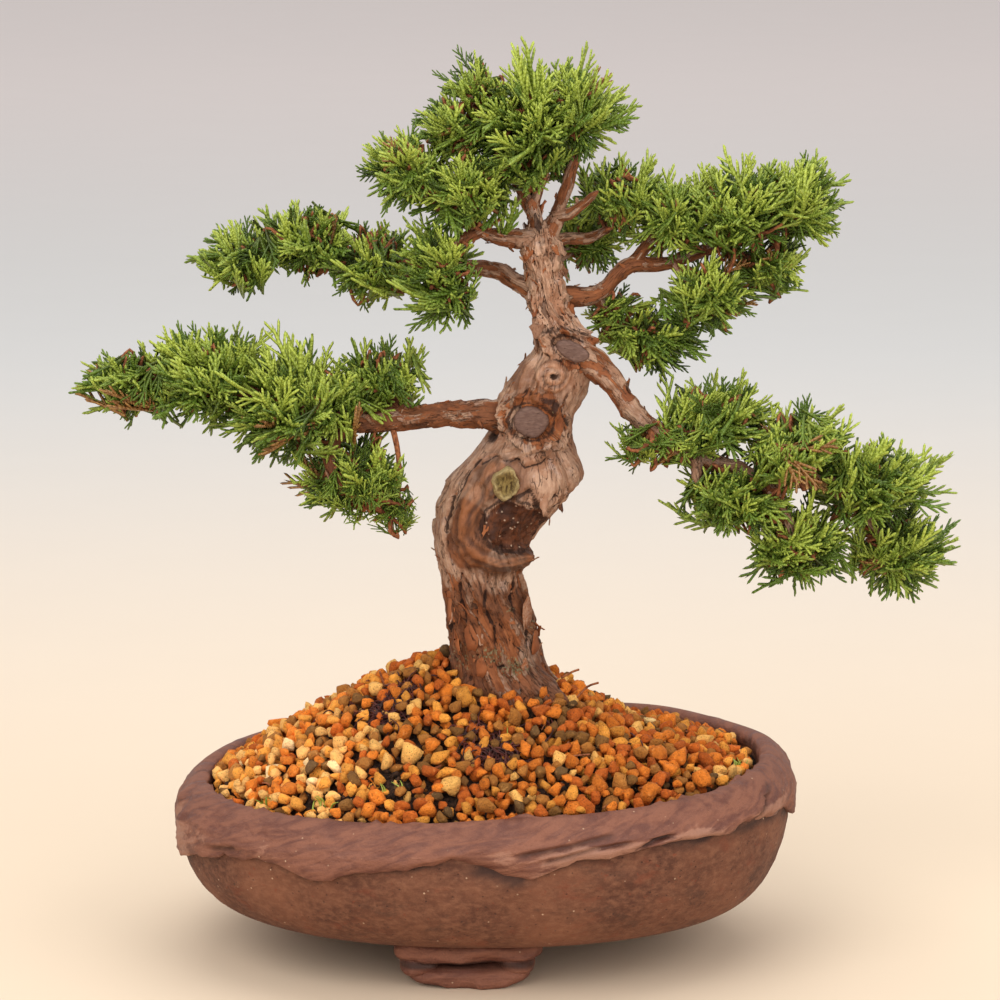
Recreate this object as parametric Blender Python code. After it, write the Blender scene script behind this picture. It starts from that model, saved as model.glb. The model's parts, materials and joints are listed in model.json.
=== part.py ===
"""A juniper trained as a small informal-upright bonsai, in a hand-built oval stoneware pot.

Run with: blender --background --python part.py

Every dimension below is in millimetres, and finish() turns each drawn mesh into metres.
+Z is up and the front of the tree faces -Y. The pieces are drawn around the middle of the
pot's footprint, and stand_on_origin() moves them all so that the origin is under the middle
of the whole tree, on the surface that the pot's three feet rest on.
"""

import math

import bmesh
import bpy
from mathutils import Matrix, Vector, noise

MM = 0.001
GAP = 0.3  # clearance between pieces that touch
PAD_GAP = 1.0  # clearance between neighbouring pads of foliage

# Pot: half widths along X, half depths along Y
POT_HALF_WIDTH = 91.0
POT_HALF_DEPTH = 71.0
UNDERSIDE_Z = 12.0
FLOOR_Z = 19.0
RIM_Z = 53.5
RIM_RISE = 3.5  # the right end of the rim stands this much above the middle, the left end below
LIP_INSET = 10.5  # from the widest line of the collar in to the inner lip
WALL = 8.0
POT_SIDES = 36
LIP_DEPTH = 7.0  # straight part of the lip, down inside the pot
LIP_TAPER = 0.6

# Outside of the bowl from its underside up: inset from the collar's widest line, height above
# the underside, share of the rim's slope, and seed and size of the hand-made wander
BOWL_RINGS = (
    (28.0, 0.0, 0.0, 0.0, 0.0),
    (19.5, 1.8, 0.0, 0.0, 0.0),
    (11.5, 6.5, 0.1, 1.0, 0.6),
    (6.0, 14.5, 0.3, 2.0, 0.8),
    (3.4, 23.5, 0.6, 3.0, 1.1),
)
# Collar from its lower edge up and over the lip: inset, depth below the rim, share of the slope
COLLAR_RINGS = (
    (0.2, 16.5, 0.9),
    (0.0, 11.5, 1.0),
    (3.2, 4.5, 1.0),
    (7.2, 0.6, 1.0),
    (9.5, 0.0, 1.0),
    (10.5, 1.6, 1.0),
)
COLLAR_SEED = 4.0
COLLAR_WAVE = 1.1
# Inside of the wall below the lip: inset without the wall, height above the floor, share of the slope
INSIDE_RINGS = ((3.4, 16.5, 0.4), (6.0, 8.5, 0.2), (11.5, 2.2, 0.0), (19.5, 0.0, 0.0))

# Feet: folded strips of clay
FOOT_WIDTH = 43.0
FOOT_DEPTH = 20.0
FOOT_FOLD = 6.8  # thickness of one layer of the fold
FOOT_OVERLAP = 0.8
FOOT_STEP = 1.6  # the upper layer is this much narrower than the lower one
FOOT_ROUNDING = 1.8
FOOT_PLACES = ((-4.0, -37.5, 0.0), (-43.0, 24.0, 62.0), (43.0, 24.0, -62.0))

# Drain holes, each with a plastic mesh over it and a wire that holds the mesh down
DRAIN_PLACES = (("left", -30.0), ("right", 30.0))
DRAIN_RADIUS = 8.0
DRILL_LENGTH = 20.0
MESH_ROOM_DEPTH = 8.0
MESH_SIDE = 22.0
MESH_THICK = 0.9
MESH_PITCH = 6.0
MESH_HOLE = 4.2
WIRE_RADIUS = 0.75
WIRE_TAIL = 14.0
WIRE_BEND = 1.0  # room that a bend takes inside the pot, and under it a little more
WIRE_BEND_UNDER = 1.2

# Mound of soil with a layer of gravel over it
MOUND_X = -10.0
MOUND_Y = 4.0
MOUND_PEAK = 84.5
MOUND_POWER = 1.2
MOUND_SHARES = (1.0, 0.85, 0.65, 0.42, 0.2)  # rings, as shares of the way out from the peak
RIM_DROP = 3.5  # the gravel's edge lies this far below the lip
GRAVEL_DEPTH = 5.5
GRAVEL_LUMPS = 1.4
GRAVEL_LUMP_SIZE = 14.0
EDGE_THINNING = 0.55  # share of the gravel's depth that is left at the rim

# Trunk, from the root plate up: height, centre X, centre Y, half width, half depth
TRUNK_STATIONS = (
    (52.0, 5.0, 1.0, 11.0, 11.0),
    (58.0, 5.0, 1.0, 17.0, 16.0),
    (68.0, 5.5, 0.5, 18.5, 17.0),
    (76.0, 5.8, 0.0, 16.0, 14.5),
    (84.0, 4.1, 0.0, 13.1, 12.8),
    (92.0, 3.4, 0.0, 12.3, 12.0),
    (103.0, 0.9, -0.5, 11.2, 11.5),
    (114.0, 0.0, -1.0, 12.2, 12.5),
    (122.0, 1.1, -1.5, 14.6, 14.0),
    (129.5, 4.3, -2.0, 17.6, 15.0),
    (137.0, 8.0, -2.0, 18.3, 15.0),
    (144.0, 11.3, -1.5, 15.2, 13.0),
    (150.0, 13.2, -1.0, 12.2, 11.5),
    (155.5, 14.2, -1.0, 11.5, 11.0),
    (163.0, 17.8, -1.0, 12.0, 10.5),
    (170.0, 20.8, -0.5, 10.4, 9.5),
    (175.0, 22.6, 0.0, 8.4, 8.0),
    (181.0, 20.6, 0.5, 6.2, 6.4),
    (187.0, 18.0, 1.0, 5.6, 5.8),
    (194.0, 17.4, 1.0, 5.0, 5.2),
    (200.0, 16.5, 1.0, 5.2, 5.2),
    (205.0, 16.0, 1.0, 5.8, 5.4),
    (208.0, 16.2, 1.0, 4.4, 4.2),
)
TRUNK_SIDES = 12
TRUNK_LOBES = 3
TRUNK_LOBE_SIZE = 0.05
TRUNK_LOBE_TURN = 14.0  # height over which the lobes turn by one radian

# Roots that leave the root plate inside the soil: direction, reach, radius at the plate
ROOTS = ((205.0, 44.0, 5.0), (330.0, 46.0, 5.5), (85.0, 34.0, 4.5), (145.0, 38.0, 4.0))
ROOT_PLATE_X = 5.0
ROOT_PLATE_Y = 1.0
ROOT_START = 6.0  # from the middle of the plate
ROOT_TOP_Z = 60.0
ROOT_END_Z = 38.0
ROOT_MIDDLE = (0.5, 0.3, 0.75)  # half way out: shares of the reach, the drop and the radius
ROOT_TIP = 0.35  # share of the radius that is left at the tip

# Limbs: each route is a list of X, Y, Z and radius. The first route starts inside the trunk,
# the others inside the first.
LIMBS = {
    "branch_lower_left": (
        ((8, -3, 154.5, 3.9), (-4, -5, 156.8, 3.8), (-24, -9, 155.4, 3.2), (-40, -11, 155.6, 3.0),
         (-61, -10, 162.5, 2.4), (-79, -7, 165.5, 1.8), (-98, -4, 165.5, 1.1)),
    ),
    "branch_lower_right": (
        ((22, -2, 173, 4.2), (31, -5, 171, 3.9), (39, -7, 162, 3.5), (46, -8, 154, 3.3),
         (60, -10, 145.2, 3.0), (81, -13, 139, 2.3), (98, -13, 138.5, 1.8), (116, -9, 134, 1.1)),
        ((60, -11, 145, 1.7), (60.4, -14, 141, 1.4), (60.6, -15, 137.6, 1.1)),
    ),
    "branch_mid_left": (
        ((17, 1, 189, 2.7), (10, 3, 192.6, 2.6), (2, 6, 196.4, 2.3), (-18, 9, 195.8, 2.0),
         (-39, 8, 197.5, 1.7), (-53, 7, 201.5, 1.3), (-70, 6, 199.5, 0.9)),
    ),
    "branch_upper_left": (
        ((14, 0, 205, 2.3), (6, -3, 206, 2.2), (-1, -6, 209, 2.0), (-10, -9, 214.5, 1.6),
         (-21, -11, 224, 1.0)),
    ),
    "branch_mid_right": (
        ((17, 2, 190.5, 2.9), (26, 4, 189, 2.8), (34, 6, 190, 2.5), (41, 7, 196.5, 2.2),
         (54, 9, 197.6, 2.0), (68, 10, 202.4, 1.6), (81, 9, 205.5, 1.3), (93, 8, 213, 0.9)),
        ((31, 5, 189.4, 1.6), (37, 8, 182, 1.4), (51, 10, 174, 0.9)),
        ((42, 7, 197, 1.6), (49, 11, 205, 1.3), (58, 13, 213, 0.9)),
    ),
    "branch_right_small": (
        ((17, 3, 203.5, 1.9), (23, 8, 204.6, 1.7), (32, 12, 204.6, 1.5), (45, 15, 212, 0.9)),
    ),
    "branch_back": (
        ((17, 3, 197.5, 2.0), (21, 13, 198, 1.8), (30, 27, 201, 0.9)),
    ),
    "apex_leader": (
        ((16.4, 1, 203, 3.2), (14, 1, 213, 2.7), (9, 0.5, 224, 2.2), (3.5, 0, 235, 1.7),
         (-4, -1, 244, 0.9)),
        ((17, 1, 204, 2.8), (21, 1.5, 213, 2.5), (25, 2, 224, 2.0), (29, 2, 242, 0.9)),
        ((14, 1, 214, 2.0), (17, 0, 226, 1.8), (17, -1, 240, 1.2), (12, -2, 248, 0.9)),
        ((20.4, 1.5, 212, 1.6), (25, 0, 213.6, 1.5), (32.5, -2, 219.5, 1.2)),
    ),
}
LIMB_SIDES = 8
TWIG_SIDES = 6
LIMB_STEPS = 2

# Pads of foliage: each clump is a centre X, Y, Z and half widths along X, Y and Z
PADS = {
    "foliage_lower_left": (
        (-99, -4, 164.5, 19, 15, 11), (-78, -6, 167.5, 20, 21, 15), (-54, -9, 159, 23, 25, 18),
        (-38, -14, 140, 17, 19, 14), (-30, -3, 166, 14, 15, 11), (-26, -13, 131.5, 10, 10, 8),
    ),
    "foliage_mid_left": (
        (-68, 6, 199, 14, 15, 10), (-51, 7, 203.5, 15, 19, 12), (-33, 8, 200, 15, 18, 11),
    ),
    "foliage_upper_left": (
        (-23, -10, 226, 12, 15, 13), (-6, -12, 220, 14, 14, 12), (-13, -15, 198, 11, 12, 17),
    ),
    "foliage_apex": (
        (-8, -2, 239, 11, 15, 13), (-1, 2, 250, 11, 14, 8), (11, -2, 243, 17, 20, 16),
        (28, 0, 244, 15, 17, 15), (18, 14, 229, 13, 14, 12),
    ),
    "foliage_right_small": ((42, 14, 215, 15, 14, 12),),
    "foliage_back": ((30, 27, 201, 13, 14, 11),),
    "foliage_right_upper": (
        (57, 10, 209, 14, 17, 13), (74, 8, 212, 17, 20, 16), (91, 7, 215, 13, 15, 15),
        (65, 3, 190, 15, 15, 13), (81, 9, 197, 12, 14, 12),
    ),
    "foliage_right_inner": ((48, 10, 175, 16, 14, 11), (38, 9, 183, 9, 9, 7)),
    "foliage_lower_right": (
        (67, -6, 154, 17, 19, 13), (49, -12, 148.5, 13, 9, 6), (73, -14, 134, 17, 17, 13),
        (89, -12, 147, 18, 21, 12), (90, -17, 120, 16, 15, 14), (110, -8, 137, 20, 21, 13),
        (119, -4, 117, 16, 17, 16),
    ),
}
CLUMP_SEGMENTS = 9
CLUMP_RINGS = 6
CLUMP_LUMPS = 0.16

# Sealing paste on the two pruning cuts: centre, half width, half height, half thickness, turn
PASTES = {
    "wound_paste_upper": ((25.2, -7.3, 175.2), (5.3, 2.6, 1.2), -28.0),
    "wound_paste_lower": ((13.6, -11.7, 155.6), (5.1, 4.5, 1.3), -8.0),
}

# Colours and finishes: red, green, blue, roughness, metallic
SURFACES = {
    "stoneware": (0.19, 0.075, 0.04, 0.62, 0.0),
    "soil": (0.03, 0.02, 0.013, 0.95, 0.0),
    "gravel": (0.33, 0.12, 0.03, 0.9, 0.0),
    "bark": (0.29, 0.14, 0.075, 0.85, 0.0),
    "foliage": (0.11, 0.2, 0.03, 0.6, 0.0),
    "paste": (0.16, 0.075, 0.05, 0.7, 0.0),
    "mesh_plastic": (0.03, 0.03, 0.03, 0.5, 0.0),
    "wire": (0.55, 0.5, 0.46, 0.35, 1.0),
}


def clear_scene():
    for item in list(bpy.data.objects):
        bpy.data.objects.remove(item, do_unlink=True)


def surface(name):
    """The material of one kind of surface, made once."""
    if name in bpy.data.materials:
        return bpy.data.materials[name]
    red, green, blue, roughness, metallic = SURFACES[name]
    material = bpy.data.materials.new(name)
    material.use_nodes = True
    shader = material.node_tree.nodes["Principled BSDF"]
    shader.inputs["Base Color"].default_value = (red, green, blue, 1.0)
    shader.inputs["Roughness"].default_value = roughness
    shader.inputs["Metallic"].default_value = metallic
    return material


def finish(name, bm, surface_name, guide=False):
    """Make a named object in metres from a mesh drawn in millimetres."""
    bmesh.ops.scale(bm, vec=(MM, MM, MM), verts=bm.verts)
    bmesh.ops.recalc_face_normals(bm, faces=bm.faces)
    mesh = bpy.data.meshes.new(name)
    bm.to_mesh(mesh)
    bm.free()
    mesh.shade_smooth()
    mesh.set_sharp_from_angle(angle=math.radians(40.0))
    mesh.materials.append(surface(surface_name))
    item = bpy.data.objects.new(name, mesh)
    bpy.context.collection.objects.link(item)
    if guide:
        item.hide_render = True
        item.display_type = "WIRE"
    return item


def combine(item, operand, operation):
    """Add or cut away another object's solid.

    The lumpy pads and the pot take many cuts one after another, which the exact solver
    breaks up, so every cut here uses the manifold one. All the operands are closed.
    """
    modifier = item.modifiers.new(operand.name, "BOOLEAN")
    modifier.operation = operation
    modifier.solver = "MANIFOLD"
    modifier.object = operand
    return item


def loft(rings):
    """A closed solid through rings of equal length, with a flat face at each end."""
    bm = bmesh.new()
    loops = [[bm.verts.new(point) for point in ring] for ring in rings]
    for low, high in zip(loops, loops[1:]):
        count = len(low)
        for i in range(count):
            j = (i + 1) % count
            bm.faces.new((low[i], low[j], high[j], high[i]))
    bm.faces.new(list(reversed(loops[0])))
    bm.faces.new(loops[-1])
    return bm


def through(values, steps):
    """Points on a smooth curve through every given point, steps to each stretch."""
    last = len(values) - 1
    points = []
    for i in range(last):
        before = values[max(i - 1, 0)]
        start = values[i]
        end = values[i + 1]
        after = values[min(i + 2, last)]
        for step in range(steps):
            t = step / steps
            points.append(tuple(
                b + 0.5 * t * (c - a + t * (2 * a - 5 * b + 4 * c - d + t * (3 * (b - c) + d - a)))
                for a, b, c, d in zip(before, start, end, after)
            ))
    points.append(tuple(values[last]))
    return points


def tube(route, sides=LIMB_SIDES, steps=LIMB_STEPS, grow=0.0):
    """A round limb along a route, with its section carried along without twisting."""
    stations = through(route, steps)
    centres = [Vector(station[:3]) for station in stations]
    first = (centres[1] - centres[0]).normalized()
    last = (centres[-1] - centres[-2]).normalized()
    centres[0] -= first * grow
    centres[-1] += last * grow
    across = first.orthogonal().normalized()
    rings = []
    for i, centre in enumerate(centres):
        along = (centres[min(i + 1, len(centres) - 1)] - centres[max(i - 1, 0)]).normalized()
        across = (across - along * across.dot(along)).normalized()
        side = along.cross(across)
        radius = stations[i][3] + grow
        turns = [math.tau * k / sides for k in range(sides)]
        rings.append([centre + (across * math.cos(a) + side * math.sin(a)) * radius for a in turns])
    return loft(rings)


def oval(angle, half_width, half_depth):
    """A point on a rounded, slightly square oval."""
    power = 0.92
    x = math.copysign(abs(math.cos(angle)) ** power, math.cos(angle))
    y = math.copysign(abs(math.sin(angle)) ** power, math.sin(angle))
    return half_width * x, half_depth * y


def uneven(x, y, z, seed, amount, size=40.0):
    """A slow wander, for work that was shaped by hand."""
    return amount * noise.noise(Vector((x / size + seed, y / size, z / size)))


def lip_height(x):
    return RIM_Z + RIM_RISE * x / POT_HALF_WIDTH


def pot_ring(inset, low, share, seed=0.0, wave=0.0):
    """A ring of the pot. share carries the rim's slope: 1 at the lip, 0 at the underside."""
    ring = []
    for k in range(POT_SIDES):
        angle = math.tau * k / POT_SIDES
        x, y = oval(angle, POT_HALF_WIDTH - inset, POT_HALF_DEPTH - inset)
        out = 1.0 + uneven(x, y, low, seed, wave) / POT_HALF_DEPTH
        slope = share * RIM_RISE * x / POT_HALF_WIDTH
        z = low + slope + uneven(x, y, 0.0, seed + 7.0, wave)
        ring.append(Vector((x * out, y * out, z)))
    return ring


def pot():
    """One fired piece: bowl, folded collar, three feet and two drain holes."""
    outside = []
    for inset, height, share, seed, wave in BOWL_RINGS:
        outside.append(pot_ring(inset, UNDERSIDE_Z + height, share, seed, wave))
    collar = []
    for inset, depth, share in COLLAR_RINGS:
        collar.append(pot_ring(inset, RIM_Z - depth, share, COLLAR_SEED, COLLAR_WAVE))
    body = finish("pot", loft(outside + collar + inner_wall(0.0)), "stoneware")
    for i, place in enumerate(FOOT_PLACES):
        for fold in foot(f"foot_fold_{i}", *place):
            combine(body, fold, "UNION")
    for name, x in DRAIN_PLACES:
        middle = Vector((x, 0.0, (UNDERSIDE_Z + FLOOR_Z) / 2))
        drill = rod(f"drain_drill_{name}", middle, DRAIN_RADIUS, DRILL_LENGTH)
        combine(body, drill, "DIFFERENCE")
    return body


def inner_wall(gap):
    """Rings down the inside of the pot, from below the lip to the floor."""
    rings = [pot_ring(LIP_INSET + LIP_TAPER + gap, RIM_Z - LIP_DEPTH, 0.8)]
    for inset, height, share in INSIDE_RINGS:
        rings.append(pot_ring(inset + WALL + gap, FLOOR_Z + height + gap, share))
    return rings


def foot(name, x, y, turn):
    """A strip of clay folded over on itself: two rounded layers with a slit between them."""
    layers = []
    heights = ((0.0, FOOT_FOLD, 0.0), (FOOT_FOLD - FOOT_OVERLAP, FOOT_FOLD * 2.0, FOOT_STEP))
    for i, (low, high, inset) in enumerate(heights):
        bm = bmesh.new()
        bmesh.ops.create_cube(bm, size=1.0)
        size = (FOOT_WIDTH - inset, FOOT_DEPTH - inset, high - low)
        bmesh.ops.scale(bm, vec=size, verts=bm.verts)
        bmesh.ops.bevel(bm, geom=bm.edges, offset=FOOT_ROUNDING, segments=1, affect="EDGES", profile=0.5)
        spin = Matrix.Rotation(math.radians(turn), 4, "Z")
        place = Matrix.Translation((x, y, (low + high) / 2))
        bmesh.ops.transform(bm, matrix=place @ spin, verts=bm.verts)
        layers.append(finish(f"{name}_{i}", bm, "stoneware", guide=True))
    return layers


def rod(name, centre, radius, length):
    """A plain round cutter standing upright."""
    bm = bmesh.new()
    bmesh.ops.create_cone(
        bm, cap_ends=True, segments=20, radius1=radius, radius2=radius, depth=length,
        matrix=Matrix.Translation(centre),
    )
    return finish(name, bm, "stoneware", guide=True)


def box(name, centre, size, surface_name, guide=False):
    bm = bmesh.new()
    bmesh.ops.create_cube(bm, size=1.0)
    bmesh.ops.scale(bm, vec=size, verts=bm.verts)
    bmesh.ops.translate(bm, vec=centre, verts=bm.verts)
    return finish(name, bm, surface_name, guide)


def mound_height(x, y, edge_x, edge_y):
    """Height of the gravel's surface on the line from the mound's peak to a point of its edge."""
    reach = math.hypot(edge_x - MOUND_X, edge_y - MOUND_Y)
    share = math.hypot(x - MOUND_X, y - MOUND_Y) / reach
    edge = lip_height(edge_x) - RIM_DROP
    return edge + (MOUND_PEAK - edge) * (1.0 - share ** MOUND_POWER)


def mound_rings(inset, drop, lumps=0.0):
    """Rings of the mound's surface, from its edge in to its peak."""
    rings = []
    for share in MOUND_SHARES:
        ring = []
        for k in range(POT_SIDES):
            angle = math.tau * k / POT_SIDES
            edge_x, edge_y = oval(angle, POT_HALF_WIDTH - inset, POT_HALF_DEPTH - inset)
            x = MOUND_X + (edge_x - MOUND_X) * share
            y = MOUND_Y + (edge_y - MOUND_Y) * share
            full = min(1.0, EDGE_THINNING + (1.0 - share) * 3.0)
            z = mound_height(x, y, edge_x, edge_y) - drop * full
            lump = uneven(x, y, 0.0, 11.0, lumps, GRAVEL_LUMP_SIZE)
            ring.append(Vector((x, y, z + lump)))
        rings.append(ring)
    return rings


def soil(trunk_room):
    """The soil that fills the pot and carries the gravel, with room for roots and drain meshes."""
    inset = LIP_INSET + 1.6 + GAP
    wall = list(reversed(inner_wall(GAP)))
    item = finish("soil", loft(wall + mound_rings(inset, GRAVEL_DEPTH + GAP)), "soil")
    combine(item, trunk_room, "DIFFERENCE")
    for name, x in DRAIN_PLACES:
        size = (MESH_SIDE + 2 * GAP, MESH_SIDE + 2 * GAP, MESH_ROOM_DEPTH)
        room = box(f"mesh_room_{name}", (x, 0.0, FLOOR_Z), size, "soil", guide=True)
        combine(item, room, "DIFFERENCE")
    return item


def gravel(trunk_room):
    """The layer of loose gravel over the soil, as one lumpy sheet."""
    inset = LIP_INSET + 1.6 + GAP
    under = mound_rings(inset, GRAVEL_DEPTH)
    over = mound_rings(inset, 0.0, GRAVEL_LUMPS)
    item = finish("gravel_topdressing", loft(list(reversed(under)) + over), "gravel")
    return combine(item, trunk_room, "DIFFERENCE")


def drain_mesh(name, x):
    """A square of plastic mesh over a drain hole, under the soil."""
    centre = (x, 0.0, FLOOR_Z + GAP + MESH_THICK / 2)
    plate = box(f"drain_mesh_{name}", centre, (MESH_SIDE, MESH_SIDE, MESH_THICK), "mesh_plastic")
    for i in range(-1, 2):
        for j in range(-1, 2):
            place = (x + i * MESH_PITCH, j * MESH_PITCH, centre[2])
            size = (MESH_HOLE, MESH_HOLE, 4 * MESH_THICK)
            punch = box(f"mesh_punch_{name}_{i}_{j}", place, size, "mesh_plastic", guide=True)
            combine(plate, punch, "DIFFERENCE")


def drain_wire(name, x):
    """A staple of wire: its back lies on the mesh and its tails are bent out under the pot."""
    back = FLOOR_Z + GAP + MESH_THICK + GAP + WIRE_RADIUS
    under = UNDERSIDE_Z - GAP - WIRE_RADIUS
    half = [
        (WIRE_TAIL, under),
        (MESH_PITCH + WIRE_BEND_UNDER, under),
        (MESH_PITCH, under + WIRE_BEND_UNDER),
        (MESH_PITCH, back - WIRE_BEND),
        (MESH_PITCH - WIRE_BEND, back),
    ]
    left = [(x - out, 0.0, z, WIRE_RADIUS) for out, z in half]
    right = [(x + out, 0.0, z, WIRE_RADIUS) for out, z in reversed(half)]
    finish(f"mesh_wire_{name}", tube(left + right, sides=8, steps=1), "wire")


def trunk_rings(grow):
    """Level sections of the trunk, with low ridges that turn slowly round it."""
    rings = []
    stations = TRUNK_STATIONS
    for i, (z, x, y, half_width, half_depth) in enumerate(stations):
        ends = grow * ((i == len(stations) - 1) - (i == 0))
        ring = []
        for k in range(TRUNK_SIDES):
            angle = math.tau * k / TRUNK_SIDES
            wave = math.cos(TRUNK_LOBES * angle + z / TRUNK_LOBE_TURN)
            ridge = 1.0 + TRUNK_LOBE_SIZE * wave * (1.0 - abs(math.cos(angle)))
            px = x + (half_width * ridge + grow) * math.cos(angle)
            py = y + (half_depth * ridge + grow) * math.sin(angle)
            ring.append(Vector((px, py, z + ends)))
        rings.append(ring)
    return rings


def root_route(direction, reach, radius):
    """A root's route, sloping down from the plate: X, Y, Z and radius of three stations."""
    turn = math.radians(direction)
    reach_share, drop_share, radius_share = ROOT_MIDDLE
    middle_z = ROOT_TOP_Z - drop_share * (ROOT_TOP_Z - ROOT_END_Z)
    stations = (
        (ROOT_START, ROOT_TOP_Z, radius),
        (reach_share * reach, middle_z, radius_share * radius),
        (reach, ROOT_END_Z, ROOT_TIP * radius),
    )
    route = []
    for out, z, r in stations:
        x = ROOT_PLATE_X + out * math.cos(turn)
        y = ROOT_PLATE_Y + out * math.sin(turn)
        route.append((x, y, z, r))
    return route


def trunk(name, grow=0.0, guide=False):
    """Trunk and main roots, one piece of wood."""
    item = finish(name, loft(trunk_rings(grow)), "bark", guide)
    for i, root in enumerate(ROOTS):
        bm = tube(root_route(*root), sides=TWIG_SIDES, grow=grow)
        combine(item, finish(f"{name}_root_{i}", bm, "bark", guide=True), "UNION")
    return item


def limb(name, routes, grow=0.0, guide=False):
    """A limb with the branches that grow from it, one piece of wood."""
    item = finish(name, tube(routes[0], grow=grow), "bark", guide)
    for i, route in enumerate(routes[1:]):
        twig = tube(route, sides=TWIG_SIDES, grow=grow)
        fork = finish(f"{name}_fork_{i}", twig, "bark", guide=True)
        combine(item, fork, "UNION")
    return item


def clump(centre_and_size, seed, grow=0.0):
    """A lumpy round cloud of foliage."""
    x, y, z, half_x, half_y, half_z = centre_and_size
    bm = bmesh.new()
    bmesh.ops.create_uvsphere(bm, u_segments=CLUMP_SEGMENTS, v_segments=CLUMP_RINGS, radius=1.0)
    for vert in bm.verts:
        lump = 1.0 + CLUMP_LUMPS * noise.noise(vert.co * 1.7 + Vector((seed * 3.1, seed * 1.7, 0.0)))
        vert.co *= lump
    turn = Matrix.Rotation(math.radians(23.0 * seed), 3, "Z")
    for vert in bm.verts:
        vert.co = turn @ vert.co
        vert.co.x *= half_x + grow
        vert.co.y *= half_y + grow
        vert.co.z *= half_z + grow
    bmesh.ops.translate(bm, vec=(x, y, z), verts=bm.verts)
    return bm


def pad(name, clumps, seed, grow=0.0, guide=False):
    """One pad of foliage: clumps grown together."""
    item = finish(name, clump(clumps[0], seed, grow), "foliage", guide)
    for i, part in enumerate(clumps[1:]):
        more = finish(f"{name}_clump_{i}", clump(part, seed + i + 1, grow), "foliage", guide=True)
        combine(item, more, "UNION")
    return item


def paste(name, place, sizes, turn, grow=0.0, guide=False):
    """A cap of sealing paste, let into the bark of a pruning cut."""
    bm = bmesh.new()
    bmesh.ops.create_uvsphere(bm, u_segments=12, v_segments=6, radius=1.0)
    half_width, half_height, half_thick = sizes
    size = (half_width + grow, half_thick + grow, half_height + grow)
    bmesh.ops.scale(bm, vec=size, verts=bm.verts)
    where = Matrix.Translation(place) @ Matrix.Rotation(math.radians(turn), 4, "Y")
    bmesh.ops.transform(bm, matrix=where, verts=bm.verts)
    return finish(name, bm, "paste", guide)


def box_of(item):
    """Lowest and highest corners of an object as the viewport shows it, in metres."""
    bpy.context.view_layer.update()
    shown = item.evaluated_get(bpy.context.evaluated_depsgraph_get())
    corners = [item.matrix_world @ Vector(corner) for corner in shown.bound_box]
    low = Vector([min(corner[k] for corner in corners) for k in range(3)])
    high = Vector([max(corner[k] for corner in corners) for k in range(3)])
    return low, high


def keep_clear(item, taken):
    """Cut away the rooms of the pieces made earlier, where they come near."""
    low, high = box_of(item)
    for room, (room_low, room_high) in taken:
        if all(low[k] < room_high[k] and room_low[k] < high[k] for k in range(3)):
            combine(item, room, "DIFFERENCE")


def wood(trunk_room):
    """The trunk, its limbs and the paste on its cuts. Returns the room that each limb needs."""
    tree = trunk("trunk")
    taken = []
    for name, (place, sizes, turn) in PASTES.items():
        paste(name, place, sizes, turn)
        room = paste(f"{name}_room", place, sizes, turn, grow=GAP, guide=True)
        combine(tree, room, "DIFFERENCE")
        taken.append((room, box_of(room)))
    rooms = []
    for name, routes in LIMBS.items():
        branch = combine(limb(name, routes), trunk_room, "DIFFERENCE")
        keep_clear(branch, taken)
        room = limb(f"{name}_room", routes, grow=GAP, guide=True)
        taken.append((room, box_of(room)))
        rooms.append(room)
    return rooms


def foliage(wood_rooms):
    """Every pad of foliage, kept clear of the wood inside it and of the pads before it."""
    taken = [(room, box_of(room)) for room in wood_rooms]
    for seed, (name, clumps) in enumerate(PADS.items()):
        keep_clear(pad(name, clumps, 10 * seed), taken)
        room = pad(f"{name}_room", clumps, 10 * seed, grow=PAD_GAP, guide=True)
        taken.append((room, box_of(room)))


def stand_on_origin():
    """Carry every object on one empty, and put the origin at the middle of the base."""
    items = list(bpy.context.collection.objects)
    boxes = [box_of(item) for item in items if not item.hide_render]
    low = [min(corners[0][k] for corners in boxes) for k in range(3)]
    high = [max(corners[1][k] for corners in boxes) for k in range(3)]
    carrier = bpy.data.objects.new("bonsai", None)
    bpy.context.collection.objects.link(carrier)
    for item in items:
        item.parent = carrier
    carrier.location = (-(low[0] + high[0]) / 2, -(low[1] + high[1]) / 2, -low[2])


def main():
    clear_scene()
    pot()
    trunk_room = trunk("trunk_room", grow=GAP, guide=True)
    soil(trunk_room)
    gravel(trunk_room)
    for name, x in DRAIN_PLACES:
        drain_mesh(name, x)
        drain_wire(name, x)
    foliage([trunk_room] + wood(trunk_room))
    stand_on_origin()


main()
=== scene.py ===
import json
import math

import bmesh
import bpy
import numpy as np
from mathutils import Matrix, Vector

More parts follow.
